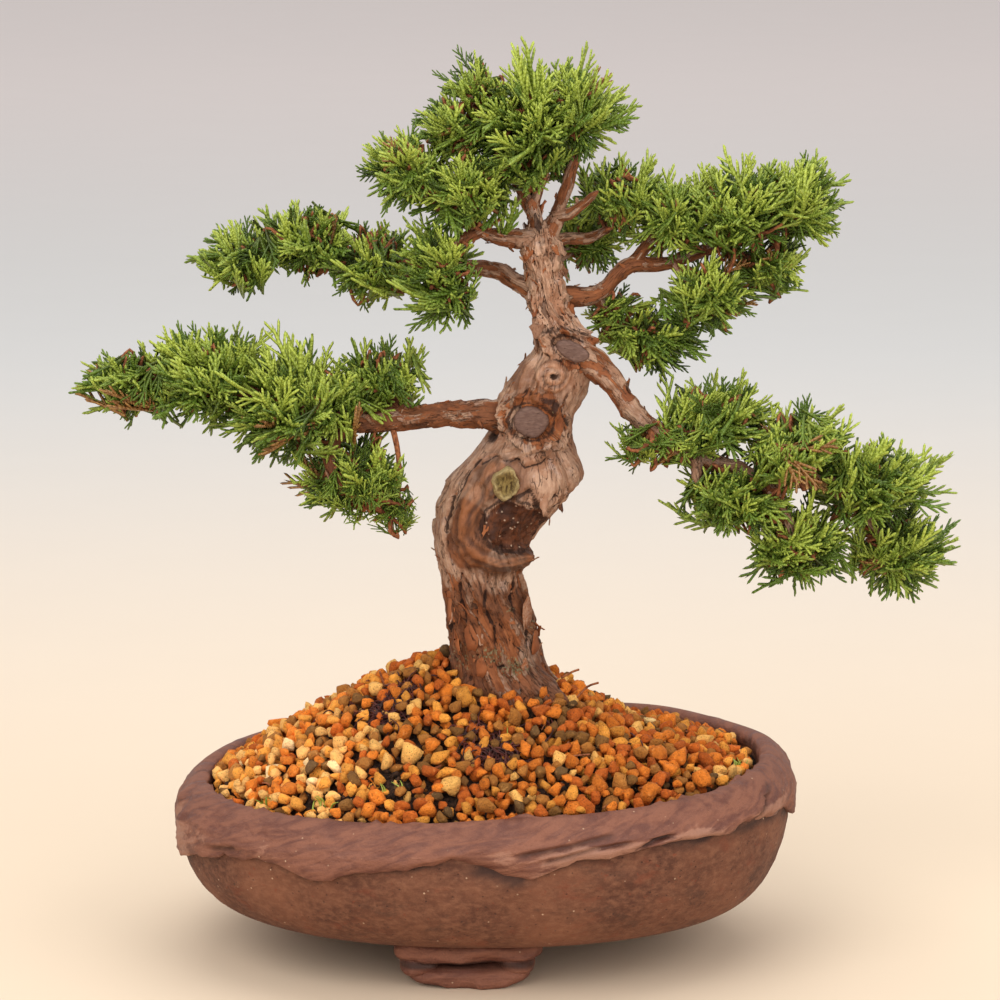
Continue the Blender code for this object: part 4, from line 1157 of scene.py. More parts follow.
def trunk():
    rows = through(TRUNK, 14)
    z, cx, cy, wide, deep = (rows[:, k:k + 1] for k in range(5))
    turn = np.linspace(0, math.tau, 150, endpoint=False)[None, :]
    ridge = 1 + 0.05 * np.cos(3 * turn + z / 14) * (1 - np.abs(np.cos(turn)))
    out = np.stack([np.cos(turn) + 0 * z, np.sin(turn) + 0 * z, 0 * turn * z], -1)
    base = np.stack([cx + wide * ridge * out[..., 0], cy + deep * ridge * out[..., 1], z + 0 * turn], -1)
    shape = base.shape[:2]
    flat = base.reshape(-1, 3)
    x, h = flat[:, 0], flat[:, 2]
    front = ramp(-out[..., 1].ravel(), -0.15, 0.15)
    twist = h / GRAIN_TURN
    side = np.tile(turn, (shape[0], 1)).ravel() + twist
    grain = np.stack([13 * np.cos(side), 13 * np.sin(side), h], -1)

    def spot(x0, z0, half_x, half_z, lean=0.0):
        """How far front points are from a spot, in its own radii."""
        c, s = math.cos(math.radians(lean)), math.sin(math.radians(lean))
        dx, dz = x - x0, h - z0
        return np.hypot((dx * c + dz * s) / half_x, (dz * c - dx * s) / half_z) + 50 * (1 - front)

    def near(way):
        gap, share = to_line(np.stack([x, h, 0 * x], -1), [(a, b, 0.0) for a, b in way])
        return gap + 50 * (1 - front), share

    lower = ramp(h, 118, 104)
    upper = ramp(h, 172, 180)
    rugged = np.clip(
        lower + upper * 0.8 + hump(spot(18, 123, 8, 14), 1.0)
        + 0.8 * (1 - front) * ramp(h, 150, 120) + 0.6 * ramp(
            wander(flat, 9.0, 47.0, 2), 0.0, 0.5
        ),
        0, 1
    )
    strips = wander(grain, (4.2, 4.2, 17), 1.0, 3)
    fine = wander(grain, (1.4, 1.4, 7), 2.0, 2)
    sheets = ramp(wander(grain, (6.2, 6.2, 14), 3.0, 3), -0.05, 0.03)
    more = ramp(wander(grain, (3.8, 3.8, 10), 4.0, 3), 0.18, 0.25)
    split = hump(wander(grain, (4.4, 4.4, 24), 9.0, 2), 0.03) * (0.1 + 0.9 * rugged)
    relief = 0.8 * wander(flat, 13, 5.0, 2) + 0.4 * wander(flat, 4.5, 6.0, 2)
    relief += rugged * (0.8 * strips + 0.3 * fine) + (1 - rugged) * (0.2 * strips + 0.08 * fine)
    relief += (0.85 * sheets + 0.6 * more - 0.7) * (0.3 + 0.7 * rugged) - 1.2 * split
    pale = 0.42 + 0.3 * sheets + 0.2 * more + 0.22 * ramp(h, 112, 126) - 0.3 * lower + 0.15 * upper
    dark = 0.9 * split + 0.2 * lower * ramp(wander(grain, (5, 5, 22), 12.0), 0.1, 0.8)
    scales = wander(grain, (4.5, 4.5, 2.6), 41.0, 3)
    relief += upper * (0.7 * ramp(scales, 0.0, 0.08) - 0.5)
    dark = np.maximum(
        dark, upper * (0.85 * hump(scales - 0.02, 0.05) + 0.3 * ramp(wander(flat, 4.0, 42.0, 2), 0.35, 0.6))
    )
    raw = 0 * h
    moss = 0 * h
    ring = 0 * h + 0.5
    scar = 0 * h
    rust = 0.62 * lower * ramp(wander(grain, (7, 7, 12), 31.0, 2), -0.5, 0.3)

    for x0, z0, half_x, half_z, lean, rim in CUT_LIPS:
        d = spot(x0, z0, half_x, half_z, lean)
        wob = 0.25 * wander(flat, 2.2, 14.0, 2)
        relief += rim * hump(d - 1.45 + wob, 0.3) * (1 + 0.9 * fine) - 1.4 * hump(d, 0.95)
        relief += 0.45 * np.cos(17.0 * (d + 0.5 * wob)) * hump(d - 1.55, 0.5)
        moss = np.maximum(moss, 0.36 * hump(d - 1.5 + wob, 0.3))
        patchy = ramp(wander(flat, 3.0, 16.0), -0.9, 0.4)
        # The first, thin dark ring just inside each lip is painted shade in the cup that the lip rims.
        dark = np.maximum(
            dark,
            0.6 * hump(d - 1.14, 0.13) + (
                0.6 * hump(d - 1.7 + wob, 0.22) + 0.3 * hump(d - 1.4, 0.3)
            ) * patchy
        )
        pale -= 0.5 * hump(d - 1.4, 0.5)
    moss = np.maximum(moss, 0.42 * hump(spot(20.5, 152.5, 3.2, 4.0), 1.0))
    d = spot(*KNOT, 4.4, 4.0)
    swirl = np.arctan2(h - KNOT[1], x - KNOT[0])
    turns = np.cos(10.5 * d - swirl + 0.5 * wander(flat, 2.5, 33.0))
    knotted = ramp(1.35 - d, 0.0, 0.4)
    relief += 2.0 * hump(d, 0.9) + 0.55 * turns * knotted - 2.8 * hump(d, 0.2) - 0.8 * hump(d - 1.3, 0.2)
    dark = np.maximum(dark, 1.0 * hump(d, 0.24) + 0.5 * ramp(-turns, 0.35, 1.0) * knotted)
    raw = np.maximum(raw, 0.4 * knotted)
    ring = np.where(knotted > 0.2, 0.6 + 0.45 * turns, ring)
    d = spot(26.8, 169.3, 1.6, 1.6)
    relief += 1.0 * hump(d, 1.0) - 0.8 * hump(d, 0.4)
    raw = np.maximum(raw, 0.75 * ramp(1.25 - spot(10.3, 168.5, 3.4, 9.5, 35), 0, 0.4))
    raw = np.maximum(raw, 0.5 * ramp(1.2 - spot(22.0, 164.5, 6.5, 7.5), 0, 0.6))
    # A small hollow in the bark, darkened over it with painted shade.
    d = spot(1.8, 150.8, 2.2, 2.6)
    relief -= 2.4 * hump(d, 1.0)
    dark = np.maximum(dark, hump(d, 1.1))

    gap, share = near(CALLUS)
    swell = ramp(hump(gap, 4.4), 0.25, 0.7)
    strands = np.sin(2.5 * (gap + 0.6 * wander(flat, 5.0, 36.0, 2)) + 1.0)
    relief += 2.3 * hump(gap, 3.2) + 0.3 * strands * swell
    raw = np.maximum(raw, swell * (0.75 + 0.25 * np.clip(wander(flat, 6.0, 39.0, 2), -1, 1)))
    blotch = 0.16 * wander(flat, 4.5, 38.0, 3)
    # On the callus the ring mark is lighter along the roll's crest and the strand crests, a painted
    # highlight, and darker in the valleys, painted shade, with random blotches.
    ring = np.where(
        swell > 0.02, 0.34 + 0.34 * hump(gap - 0.8, 1.8) + 0.3 * strands - 0.25 * share + blotch, ring
    )
    inner, _ = near(SCAR_MARGIN)
    relief -= 1.8 * hump(inner, 0.8)
    # Painted shade in patches along the sunken margin round the scar.
    dark = np.maximum(dark, 0.9 * hump(inner, 0.75) * ramp(wander(flat, 4.0, 22.0), -1.2, 0.0))
    d = spot(8.2, 126.2, 8.0, 7.4) + 0.12 * wander(flat, 3.0, 37.0, 2)
    relief -= 1.7 * ramp(1.15 - d, 0, 0.5) - 0.7 * wander(flat, 2.2, 15.0, 3) * ramp(1.2 - d, 0, 0.3)
    scar = np.maximum(scar, ramp(1.3 - d, 0, 0.5))
    dark = np.maximum(dark, 0.75 * hump(d - 1.12, 0.14))
    second, _ = near(LOWER_ROLL)
    relief += 1.2 * hump(second, 1.6)
    raw = np.maximum(raw, 0.8 * hump(second, 2.4))
    for way, deep_in in SCAR_GROOVES:
        gap, _ = near(way)
        relief -= deep_in * hump(gap, 0.9)
        # Painted shade along each groove.
        dark = np.maximum(dark, 0.8 * hump(gap, 0.9))
    stub_rim = spot(6.8, 138.6, 5.0, 5.6)
    relief += 1.5 * hump(stub_rim - 0.95, 0.3)
    raw = np.maximum(raw, 0.75 * ramp(1.5 - stub_rim, 0, 0.3))
    rust = np.maximum(rust, 1.0 * ramp(1.15 - spot(-4.5, 124.0, 8.0, 13.0, 8), 0, 0.6))
    rust = np.maximum(rust, 0.7 * ramp(1.2 - spot(14.5, 121.0, 6.5, 13.0), 0, 0.6))
    # The belly's left edge is made pale and loses its cinnamon and callus colour: partly pale bark, partly a
    # painted highlight on the side towards the light.
    left_edge = ramp(1.25 - spot(-11.5, 133.0, 5.5, 17.0, -14), 0, 0.6)
    pale += 0.6 * left_edge + 0.5 * ramp(1.2 - spot(3.0, 147.5, 9.0, 6.0), 0, 0.6)
    rust -= 0.9 * left_edge
    raw *= 1.0 - 0.8 * left_edge
    for way in CRACKS:
        smooth_way = through(np.array(way, float), 6)
        gap, share = near(smooth_way)
        thin = np.sin(math.pi * np.clip(share * 1.1, 0, 1)) ** 0.5
        gap = gap + 0.3 * wander(flat, 1.6, 21.0, 2)
        relief += 0.35 * hump(gap - 1.0, 0.8) * thin - 1.0 * hump(gap, 0.5) * thin
        dark = np.maximum(dark, 0.95 * hump(gap, 0.5) * thin)

    gap, _ = near(TORN_EDGE)
    tear = np.interp(x, *np.array(TORN_EDGE).T)
    over = ramp(
        h - tear, -0.15, 0.35
    ) * ramp(tear + 7 - h, 0, 4) * ramp(x, 0, 1.5) * ramp(24.5 - x, 0, 1.5) * front
    relief += 1.7 * over
    pale += 0.4 * over
    # Painted shadow just under the torn edge of the raised sheet.
    dark = np.maximum(dark, 0.85 * hump(gap, 0.8) * ramp(tear - h, -0.3, 0.3))
    wrinkles = spot(14, 149, 10, 4.5, 14)
    folds = np.sin((h - 0.35 * x) * 2.6 + 1.2 * wander(flat, 6, 3.0)) * ramp(1.2 - wrinkles, 0, 0.6)
    relief += 0.6 * folds
    # Painted shade in the valleys of the folds.
    dark = np.maximum(dark, 0.6 * ramp(-folds, 0.75, 0.98))
    lobe_edge = np.interp(x, *np.array(LOBE_EDGE).T)
    lobe = ramp(h - lobe_edge, -0.2, 0.4) * ramp(147 - h, 0, 6) * ramp(x, 12.5, 14) * front
    relief += 1.7 * lobe
    pale += 0.5 * lobe
    rust -= 0.8 * lobe
    # Painted shadow just under the lobe's lower edge.
    dark = np.maximum(
        dark, 0.8 * hump(h - lobe_edge + 0.9, 0.8) * ramp(x, 13, 15) * ramp(27 - x, 0, 2) * front
    )

    for x0, z0, half_x, half_z, much in LICHEN:
        moss = np.maximum(moss, much * hump(spot(x0, z0, half_x, half_z), 1.0))
    moss = np.maximum(moss, 0.4 * ramp(h, 88, 78) * (1 - front))
    pale += 0.5 * hump(spot(5.5, 103, 4.5, 8.0), 1.0) + 0.45 * hump(spot(15.5, 84.0, 3.5, 8.0, 30), 1.0)
    for direction, much, top in ROOT_FLARES:
        way = np.abs((side - twist - direction + math.pi) % math.tau - math.pi)
        relief += much * hump(way, 0.34) * ramp(top - h, 0, 16)
        relief -= 1.2 * hump(way - 0.55, 0.16) * ramp(top - h, 0, 12)
    dark = np.clip(dark + 0.35 * ramp(h, 84, 76), 0, 1)
    relief = relief.reshape(shape) * ramp(TRUNK_TOP - z, 0, 3)
    rings = base + out * relief[..., None]
    points, faces = skin(rings)
    marks = {
        "grain": grain * MM, "pale": pale, "raw": raw * (1 - dark * 0.5) * (1 - scar), "dark": dark,
        "moss": moss,
        "aged": np.clip(0.75 * ramp(h, 117, 100) + 0.6 * ramp(h, 172, 152), 0, 1.2),
        "smooth": 0.9 - 0.8 * np.clip(rugged - 0.65 * upper, 0, 1), "ring": ring,
        "rust": rust, "scar": scar,
    }
    marks = {key: spread(np.asarray(v).reshape(*shape, *v.shape[1:])) for key, v in marks.items()}
    return fit(piece("trunk_bark", points, faces, BARK, marks), "bark", "trunk")


# ---------------------------------------------------------------- limbs

LIMBS = {
    "branch_lower_left": (
        (
            (8, -3, 154.5, 4.2), (-1, -4.5, 156.2, 4.0), (-10, -6, 156.6, 3.6), (-24, -9, 155.4, 3.3),
            (-40, -11, 155.6, 3.1), (-61, -10, 162.5, 2.4), (-79, -7, 165.5, 1.8), (-98, -4, 165.5, 1.1)
        ),
        ((-38, -11, 155.5, 2), (-43, -18, 148, 1.7), (-40, -22, 138, 1.2)),
        ((-22, -9, 155.6, 1.8), (-26, -3, 163, 1.5), (-26, 2, 170, 1)),
        ((-60, -10, 162, 1.8), (-67, 0, 168, 1.5), (-76, 7, 172, 1)),
    ),
    "branch_lower_right": (
        (
            (22, -2, 173, 4.6), (31, -5, 171, 4.1), (39, -7, 162, 3.7), (46, -8, 154, 3.4),
            (60, -10, 145.2, 3.0), (81, -13, 139, 2.3), (98, -13, 138.5, 1.8), (116, -9, 134, 1.1)
        ),
        ((60, -11, 145, 1.7), (60.4, -14, 141, 1.4), (60.6, -15, 137.6, 1.1)),
        ((58, -10, 146, 1.9), (65, -3, 152, 1.6), (70, 4, 158, 1.1)),
        ((79, -13, 139.4, 1.9), (85, -18, 130, 1.6), (90, -21, 119, 1.1)),
        ((97, -13, 138.5, 1.7), (109, -8, 127, 1.4), (118, -5, 115, 1)),
    ),
    "branch_mid_left": (
        (
            (17, 1, 189, 3.0), (10, 3, 192.6, 2.7), (2, 6, 196.4, 2.4), (-18, 9, 195.8, 2.0),
            (-39, 8, 197.5, 1.7), (-53, 7, 201.5, 1.3), (-70, 6, 199.5, 0.9)
        ),
        ((-17, 9, 195.8, 1.5), (-25, 1, 194, 1.3), (-36, -4, 196, .9)),
        ((-27, 9, 196.4, 1.5), (-36, 15, 202, 1.2), (-46, 18, 206, .9)),
    ),
    "branch_upper_left": (
        (
            (14, 0, 205, 2.5), (6, -3, 206, 2.3), (-1, -6, 209, 2.0), (-10, -9, 214.5, 1.6),
            (-21, -11, 224, 1.0)
        ),
        ((-1, -6, 209, 1.5), (-8, -13, 205, 1.3), (-13, -16, 195, .9)),
        ((-2, -6, 209.6, 1.4), (-3, -11, 214, 1.2), (-2, -13, 221, .9)),
    ),
    "branch_mid_right": (
        (
            (17, 2, 190.5, 3.2), (26, 4, 189, 2.9), (34, 6, 190, 2.5), (41, 7, 196.5, 2.2),
            (54, 9, 197.6, 2.0), (68, 10, 202.4, 1.6), (81, 9, 205.5, 1.3), (93, 8, 213, 0.9)
        ),
        ((31, 5, 189.4, 1.6), (37, 8, 182, 1.4), (51, 10, 174, 0.9)),
        ((42, 7, 197, 1.6), (49, 11, 205, 1.3), (58, 13, 213, 0.9)),
        ((54, 9, 197.6, 1.5), (59, 5, 193, 1.3), (66, 1, 187, .9)),
        ((67, 10, 202, 1.5), (76, 11, 198, 1.2), (84, 12, 194, .9)),
    ),
    "branch_right_small": (
        ((17, 3, 203.5, 2.1), (23, 8, 204.6, 1.8), (32, 12, 204.6, 1.5), (45, 15, 212, 0.9)),
    ),
    "branch_back": (((17, 3, 197.5, 2.2), (21, 13, 198, 1.8), (30, 27, 201, 0.9)),),
    "apex_leader": (
        ((16.4, 1, 203, 3.1), (14, 1, 213, 2.3), (9, .5, 224, 1.6), (3.5, 0, 235, 1.3), (-4, -1, 244, .9)),
        ((17, 1, 204, 2.7), (21, 1.5, 213, 2.1), (25, 2, 224, 1.7), (29, 2, 242, .9)),
        ((14, 1, 214, 1.5), (17, 0, 226, 1.3), (17, -1, 240, 1.1), (12, -2, 248, .9)),
        ((20.4, 1.5, 212, 1.6), (25, 0, 213.6, 1.5), (32.5, -2, 219.5, 1.2)),
        ((13.5, 1, 215, 1.6), (15, 8, 221, 1.4), (18, 16, 228, .9)),
    ),
}


def stem(route, seed, main, weathered):
    """A limb with peeling bark, its foot swollen where it leaves the wood behind it."""
    sides = 26 if main else 14
    rough = through(route, 24)
    reach = np.concatenate([[0], np.cumsum(np.linalg.norm(np.diff(rough[:, :3], axis=0), axis=1))])
    count = int(reach[-1] / (0.75 if main else 1.0))
    t = np.linspace(0, reach[-1], count)
    line = np.stack([np.interp(t, reach, rough[:, k]) for k in range(4)], -1)
    line[:, :3] += 0.45 * np.stack(
        [wander(line[:, :3], 9, seed + k) for k in range(3)], -1
    ) * ramp(t, 0, 8)[:, None]
    along = unit(np.gradient(line[:, :3], axis=0))
    across = np.zeros_like(along)
    last = np.array([0.1, 1.0, 0.2])
    for i, a in enumerate(along):
        last = unit(last - a * (a @ last))
        across[i] = last
    side = np.cross(along, across)
    turn = np.linspace(0, math.tau, sides, endpoint=False)
    out = across[:, None] * np.cos(turn)[None, :, None] + side[:, None] * np.sin(turn)[None, :, None]
    radius = 0.87 * line[:, 3] * (1 + 0.45 * np.exp(-t / 5.0))
    shape = out.shape[:2]
    spin = turn[None, :] + t[:, None] / 55.0
    grain = (
        np.stack([4 * np.cos(spin), 4 * np.sin(spin), np.tile(t[:, None], (1, sides))], -1).reshape(-1, 3)
        + seed * 17.0
    )
    flat = (line[:, None, :3] + out * radius[:, None, None]).reshape(-1, 3)
    strips = wander(grain, (1.5, 1.5, 10), 1.0, 3)
    sheet_on = ramp(wander(grain, (2.6, 2.6, 5.5), 3.0, 3), -0.05, 0.04)
    rings_around = wander(grain * (0.12, 0.12, 1), (1, 1, 2.6), 5.0, 2)
    split = hump(wander(grain, (2.0, 2.0, 15), 9.0, 2), 0.05)
    knots = 0.55 * wander(flat, 6.0, seed + 2.0, 2)
    scale = (radius / 3.5)[:, None].clip(0.3, 1.0)
    relief = (
        0.18 * strips + 0.55 * sheet_on - 0.4 * split + 1.3 * knots + 0.3 * rings_around
    ).reshape(shape) * scale
    rings = line[:, None, :3] + out * (radius[:, None] + relief)[..., None]
    tip = ramp(reach[-1] - t, -0.5, 2.2)[:, None, None]
    rings = line[:, None, :3] + (rings - line[:, None, :3]) * (0.25 + 0.75 * tip)
    # Painted light: the upper side of each limb is made paler, a painted highlight, and the underside
    # darker, painted shade.
    underside_shade = ramp(-out[..., 2].ravel(), -0.2, 0.9)
    marks = {
        "grain": grain * MM, "pale": weathered + 0.34 * sheet_on + 0.15 * (1 - underside_shade),
        "raw": 0.15 * (1 - sheet_on),
        "dark": np.clip(0.6 * split + 0.3 * underside_shade * ramp(wander(flat, 5), 0.1, 0.8), 0, 1),
        "moss": 0 * split,
        "aged": 0 * split + 1.05 - 1.2 * weathered, "smooth": 0 * split + 0.6, "ring": 0 * split + 0.5,
        "rust": (0.75 - 1.5 * weathered) * (1 - 0.5 * sheet_on),
        "scar": 0 * split,
    }
    points, faces = skin(rings)
    marks = {key: spread(v.reshape(*shape, *v.shape[1:])) for key, v in marks.items()}
    return points, faces, marks


def limbs():
    for number, (name, routes) in enumerate(LIMBS.items()):
        weathered = {"branch_lower_left": 0.02, "branch_lower_right": 0.27}.get(name, 0.17)
        parts = [stem(route, 1.3 * number + 0.31 * i, i == 0, weathered) for i, route in enumerate(routes)]
        points, faces, marks = join_up(parts)
        fit(piece(name.replace("branch", "limb") + "_bark", points, faces, BARK, marks), "bark", name)


def bark_flake(seed, curl):
    """A torn strip of bark, size 1 along Y, its free end curling up; a closed thin sheet."""
    rows, across = 5, 3
    draw = np.random.default_rng(seed)
    wide = draw.uniform(0.16, 0.3, rows) * (1.0, 1.1, 1.0, 0.8, 0.35)
    top = np.zeros((rows, across, 3))
    for i in range(rows):
        t = i / (rows - 1)
        for j in range(across):
            u = j / (across - 1) * 2 - 1
            top[i, j] = (
                wide[i] * u + 0.06 * draw.uniform(-1, 1), t + 0.08 * draw.uniform(-1, 1),
                curl * t ** 1.8 + 0.1 * u * u * (1 - curl) - 0.02
            )
    low = top - (0, 0, 0.05)
    points = np.concatenate([top.reshape(-1, 3), low.reshape(-1, 3)])
    n = rows * across
    faces = []
    for i in range(rows - 1):
        for j in range(across - 1):
            a = i * across + j
            faces.append((a, a + 1, a + across + 1, a + across))
            faces.append((n + a, n + a + across, n + a + across + 1, n + a + 1))
    rim = list(range(across)) + [i * across + across - 1 for i in range(1, rows)]
    rim += (
        [(rows - 1) * across + j for j in range(across - 2, -1, -1)]
        + [i * across for i in range(rows - 2, 0, -1)]
    )
    for a, b in zip(rim, rim[1:] + rim[:1]):
        faces.append((a, n + a, n + b, b))
    return points, faces, {}


FLAKES = {  # how many loose flakes, and their shortest and longest
    "trunk_bark": (260, 1.5, 3.8), "limb_lower_left_bark": (90, 1.2, 3.4),
    "limb_lower_right_bark": (90, 1.2, 3.4),
    "limb_mid_left_bark": (40, 1.0, 2.4), "limb_mid_right_bark": (60, 1.0, 2.6),
    "apex_leader_bark": (90, 1.0, 2.6),
    "limb_upper_left_bark": (30, 1.0, 2.2),
}


PLATES = (  # height, degrees round from the right, length, lean from upright, how pale, how dark
    (98, -30, 10, -4, 0.35, 0.1), (90, -28, 7, -8, 0.3, 0.2), (107, 214, 8, 4, 0.4, 0.2),
    (99, 205, 8, -6, 0.3, 0.2),
    (90, 212, 8, 6, 0.3, 0.3), (131, -20, 5, 150, 0.1, 0.6),
    (92, 238, 8, -6, 0.2, 0.3), (84, 250, 6, 4, 0.2, 0.4), (199, -40, 6, 0, 0.6, 0.0),
    (192, 230, 5, -4, 0.6, 0.0),
)


def plate_place(height, degrees):
    """A point of the trunk's bark and the way that it faces."""
    table = np.array(TRUNK)
    cx, cy, wide, deep = (np.interp(height, table[:, 0], table[:, k]) for k in range(1, 5))
    c, s = math.cos(math.radians(degrees)), math.sin(math.radians(degrees))
    return np.array([cx + wide * c, cy + deep * s, height]), unit(np.array([c / wide, s / deep, 0.0]))


def takes_flake(name, place, normal, luck):
    """Loose bark is thick on the lower trunk, rare on its smooth belly, and absent round the wounds."""
    if place[2] < 78:
        return False
    if name != "trunk_bark":
        return True
    if 116 < place[2] < 173 and luck < 0.8:
        return False
    wounds = ((25, 175), (13.6, 155.6), (6.8, 138.6))
    return normal[1] > -0.2 or min(math.hypot(place[0] - x, place[2] - z) for x, z in wounds) > 8.5


def flakes():
    """Loose bark along the trunk and the limbs."""
    draw = np.random.default_rng(31)
    spots, turns, sizes, pale, dark = [], [], [], [], []
    for name, (count, low, high) in FLAKES.items():
        mesh = bpy.data.objects[name].data
        wanted = len(spots) + count
        for i in draw.integers(0, len(mesh.vertices), count * 8):
            vertex = mesh.vertices[int(i)]
            place = (np.array(vertex.co) - HOME) / MM
            normal = np.array(vertex.normal)
            if not takes_flake(name, place, normal, draw.random()):
                continue
            grain = UP if name.startswith(("trunk", "apex")) else np.array([1.0, 0.0, 0.0])
            forward = unit(grain * draw.choice((-1, 1)) + draw.normal(0, 0.28, 3))
            size = draw.uniform(low, high) * draw.choice((1.0, 1.0, 1.0, 1.5))
            spots.append(place - normal * 0.15)
            turns.append(turn_to(unit(forward - normal * (forward @ normal)), normal))
            sizes.append((size * draw.uniform(0.6, 1.4), size, size * draw.uniform(0.5, 1.3)))
            pale.append(draw.uniform(0.2, 0.85))
            dark.append(draw.uniform(0.0, 0.35) + 0.3 * (draw.random() < 0.25))
            if len(spots) >= wanted:
                break
    for height, degrees, size, lean, how_pale, how_dark in PLATES:
        place, normal = plate_place(height, degrees)
        aside = unit(np.cross(UP, normal))
        forward = UP * math.cos(math.radians(lean)) + aside * math.sin(math.radians(lean))
        spots.append(place - forward * size * 0.4 + normal * 0.25)
        turns.append(turn_to(forward, normal))
        sizes.append((size * 1.0, size, size * 0.3))
        pale.append(how_pale)
        dark.append(how_dark)
    shapes = shape_set(
        "bark_flake", [bark_flake(k, c) for k, c in enumerate((0.12, 0.3, 0.5, 0.2, 0.05, 0.38))]
    )
    none = np.zeros(len(spots))
    marks = {
        "grain": np.array(spots) * MM, "pale": pale, "raw": none, "dark": dark, "moss": none,
        "aged": none + 0.3,
        "smooth": none + 0.5, "ring": none + 0.5, "rust": 0.6 - np.array(pale), "scar": none,
    }
    kinds = draw.integers(0, 6, len(spots))
    return fit(strew("bark_flakes", shapes, BARK, spots, turns, sizes, kinds, marks), "bark", "trunk")


def pastes():
    for name, place, half, lean in (
        ("wound_paste_upper", (25.2, -8.6, 175.2), (5.0, 2.5, 1.2), -28),
        ("wound_paste_lower", (13.6, -11.9, 155.6), (4.9, 4.35, 1.3), -8),
    ):
        turn = np.linspace(0, math.tau, 60, endpoint=False)
        c, s = math.cos(math.radians(lean)), math.sin(math.radians(lean))
        edge = np.stack([np.cos(turn), 0 * turn, np.sin(turn)], -1)
        wob = 1 + 0.09 * wander(edge, 0.5, len(name) * 1.0, 3)
        rings = []
        for r, y in (
            (0.05, 1.0), (0.6, 1.0), (0.97, 0.9), (1.03, 0.2), (0.97, -0.45), (0.9, -0.72), (0.72, -0.82),
            (0.5, -0.86), (0.3, -0.88), (0.12, -0.88)
        ):
            ring = edge * (half[0], 1, half[1]) * r * wob[:, None]
            ring[:, 1] = y * half[2] + 0.14 * wander(ring, 2.0, 3.0, 3)
            rings.append(
                np.stack([ring[:, 0] * c - ring[:, 2] * s, ring[:, 1], ring[:, 0] * s + ring[:, 2] * c], -1)
                + place
            )
        points, faces = skin(np.array(rings))
        faces = [tuple(reversed(f)) for f in faces]
        fit(piece(name + "_cap", points, faces, SEALING_PASTE), "paste", name)


def stub():
    """The short sawn stub on the belly of the trunk, in its collar of new bark."""
    turn = np.linspace(0, math.tau, 54, endpoint=False)
    centre = np.array([6.8, -17.7, 138.6])
    look = unit(np.array([0.12, -1.0, 0.12]))
    right = unit(np.cross(look, UP))
    top = np.cross(right, look)
    ring = right * np.cos(turn)[:, None] * 3.6 + top * np.sin(turn)[:, None] * 4.1
    wob = 1 + 0.2 * wander(ring, 3.0, 2.0, 3)
    rings = []
    for r, out in (
        (1.2, -6.0), (1.12, -2.5), (1.04, -0.6), (1.0, 0.5), (0.93, 1.0), (0.85, 0.7), (0.7, 0.0),
        (0.5, -0.4), (0.3, -0.6), (0.12, -0.7)
    ):
        hollow = 1.3 * wander(ring * r, (1.6, 1.6, 1.6), 4.0, 3) * (r < 0.9)
        rings.append(
            centre + ring * r * wob[:, None] + look * (out + hollow)[:, None] if r < 0.9 else centre + ring
            * r * wob[:, None] + look * out
        )
    points, faces = skin(np.array(rings))
    area = sum(
        np.cross(points[f[1]] - points[f[0]], points[f[2]] - points[f[0]]) @ (points[f[0]] - centre)
        for f in faces
    )
    if area < 0:
        faces = [tuple(reversed(f)) for f in faces]
    rim = np.repeat([0.2, 0.5, 0.9, 1.0, 1.0, 0.9, 0.2, 0, 0, 0], 54)
    return fit(
        piece("cut_stub", points, faces, CUT_WOOD, {"rim": np.append(rim, (0.0, 0.0))}), "bark", "trunk"
    )


# ---------------------------------------------------------------- foliage

PADS = {  # node: clumps as middle and half sizes, and how strongly the shoots reach up
    "foliage_lower_left": (0.35, (
        (-97.5, -4, 164.5, 19, 15, 11), (-78, -6, 167.5, 20, 21, 15), (-54, -9, 159, 23, 25, 18),
        (-38, -14, 140, 17, 19, 14), (-30, -3, 166, 14, 15, 11), (-26, -13, 131.5, 10, 10, 8))),
    "foliage_mid_left": (
        0.45, ((-68, 6, 199, 14, 15, 10), (-51, 7, 203.5, 15, 19, 12), (-33, 6, 197.5, 15, 19, 12))
    ),
    "foliage_upper_left": (
        0.25, ((-23, -10, 226, 12, 15, 13), (-6, -12, 220, 14, 14, 12), (-13, -15, 198, 11, 12, 17))
    ),
    "foliage_apex": (0.5, (
        (-8, -2, 238, 11, 15, 13), (-1, 2, 247.5, 11, 14, 8), (11, -3, 238, 17, 19, 18),
        (26.5, 0, 241, 15, 17, 14),
        (18, 14, 229, 13, 14, 12), (8, -6, 227, 10, 9, 10))),
    "foliage_right_small": (0.3, ((42, 14, 215, 15, 14, 12),)),
    "foliage_back": (0.1, ((30, 27, 201, 13, 14, 11),)),
    "foliage_right_upper": (0.5, (
        (57, 10, 209, 14, 17, 13), (74, 8, 212, 17, 20, 16), (91, 7, 215, 13, 15, 15),
        (65, 3, 190, 15, 15, 13),
        (81, 9, 197, 12, 14, 12))),
    "foliage_right_inner": (0.0, ((48, 10, 175, 16, 14, 11), (38, 9, 183, 9, 9, 7))),
    "foliage_lower_right": (0.25, (
        (67, -6, 154, 17, 19, 13), (49, -12, 148.5, 13, 9, 6), (73, -14, 134, 17, 17, 13),
        (89, -12, 147, 18, 21, 12),
        (90, -17, 120, 16, 15, 14), (110, -8, 137, 20, 21, 13), (119, -4, 117, 16, 17, 16))),
}
PAD_LIMBS = {
    "foliage_lower_left": ("branch_lower_left",), "foliage_mid_left": ("branch_mid_left",),
    "foliage_upper_left": ("branch_upper_left",), "foliage_apex": ("apex_leader",),
    "foliage_right_small": ("branch_right_small",), "foliage_back": ("branch_back",),
    "foliage_right_upper": ("branch_mid_right",), "foliage_right_inner": ("branch_mid_right",),
    "foliage_lower_right": ("branch_lower_right",),
}
SPACING = 7.5  # between neighbouring shoots over a clump
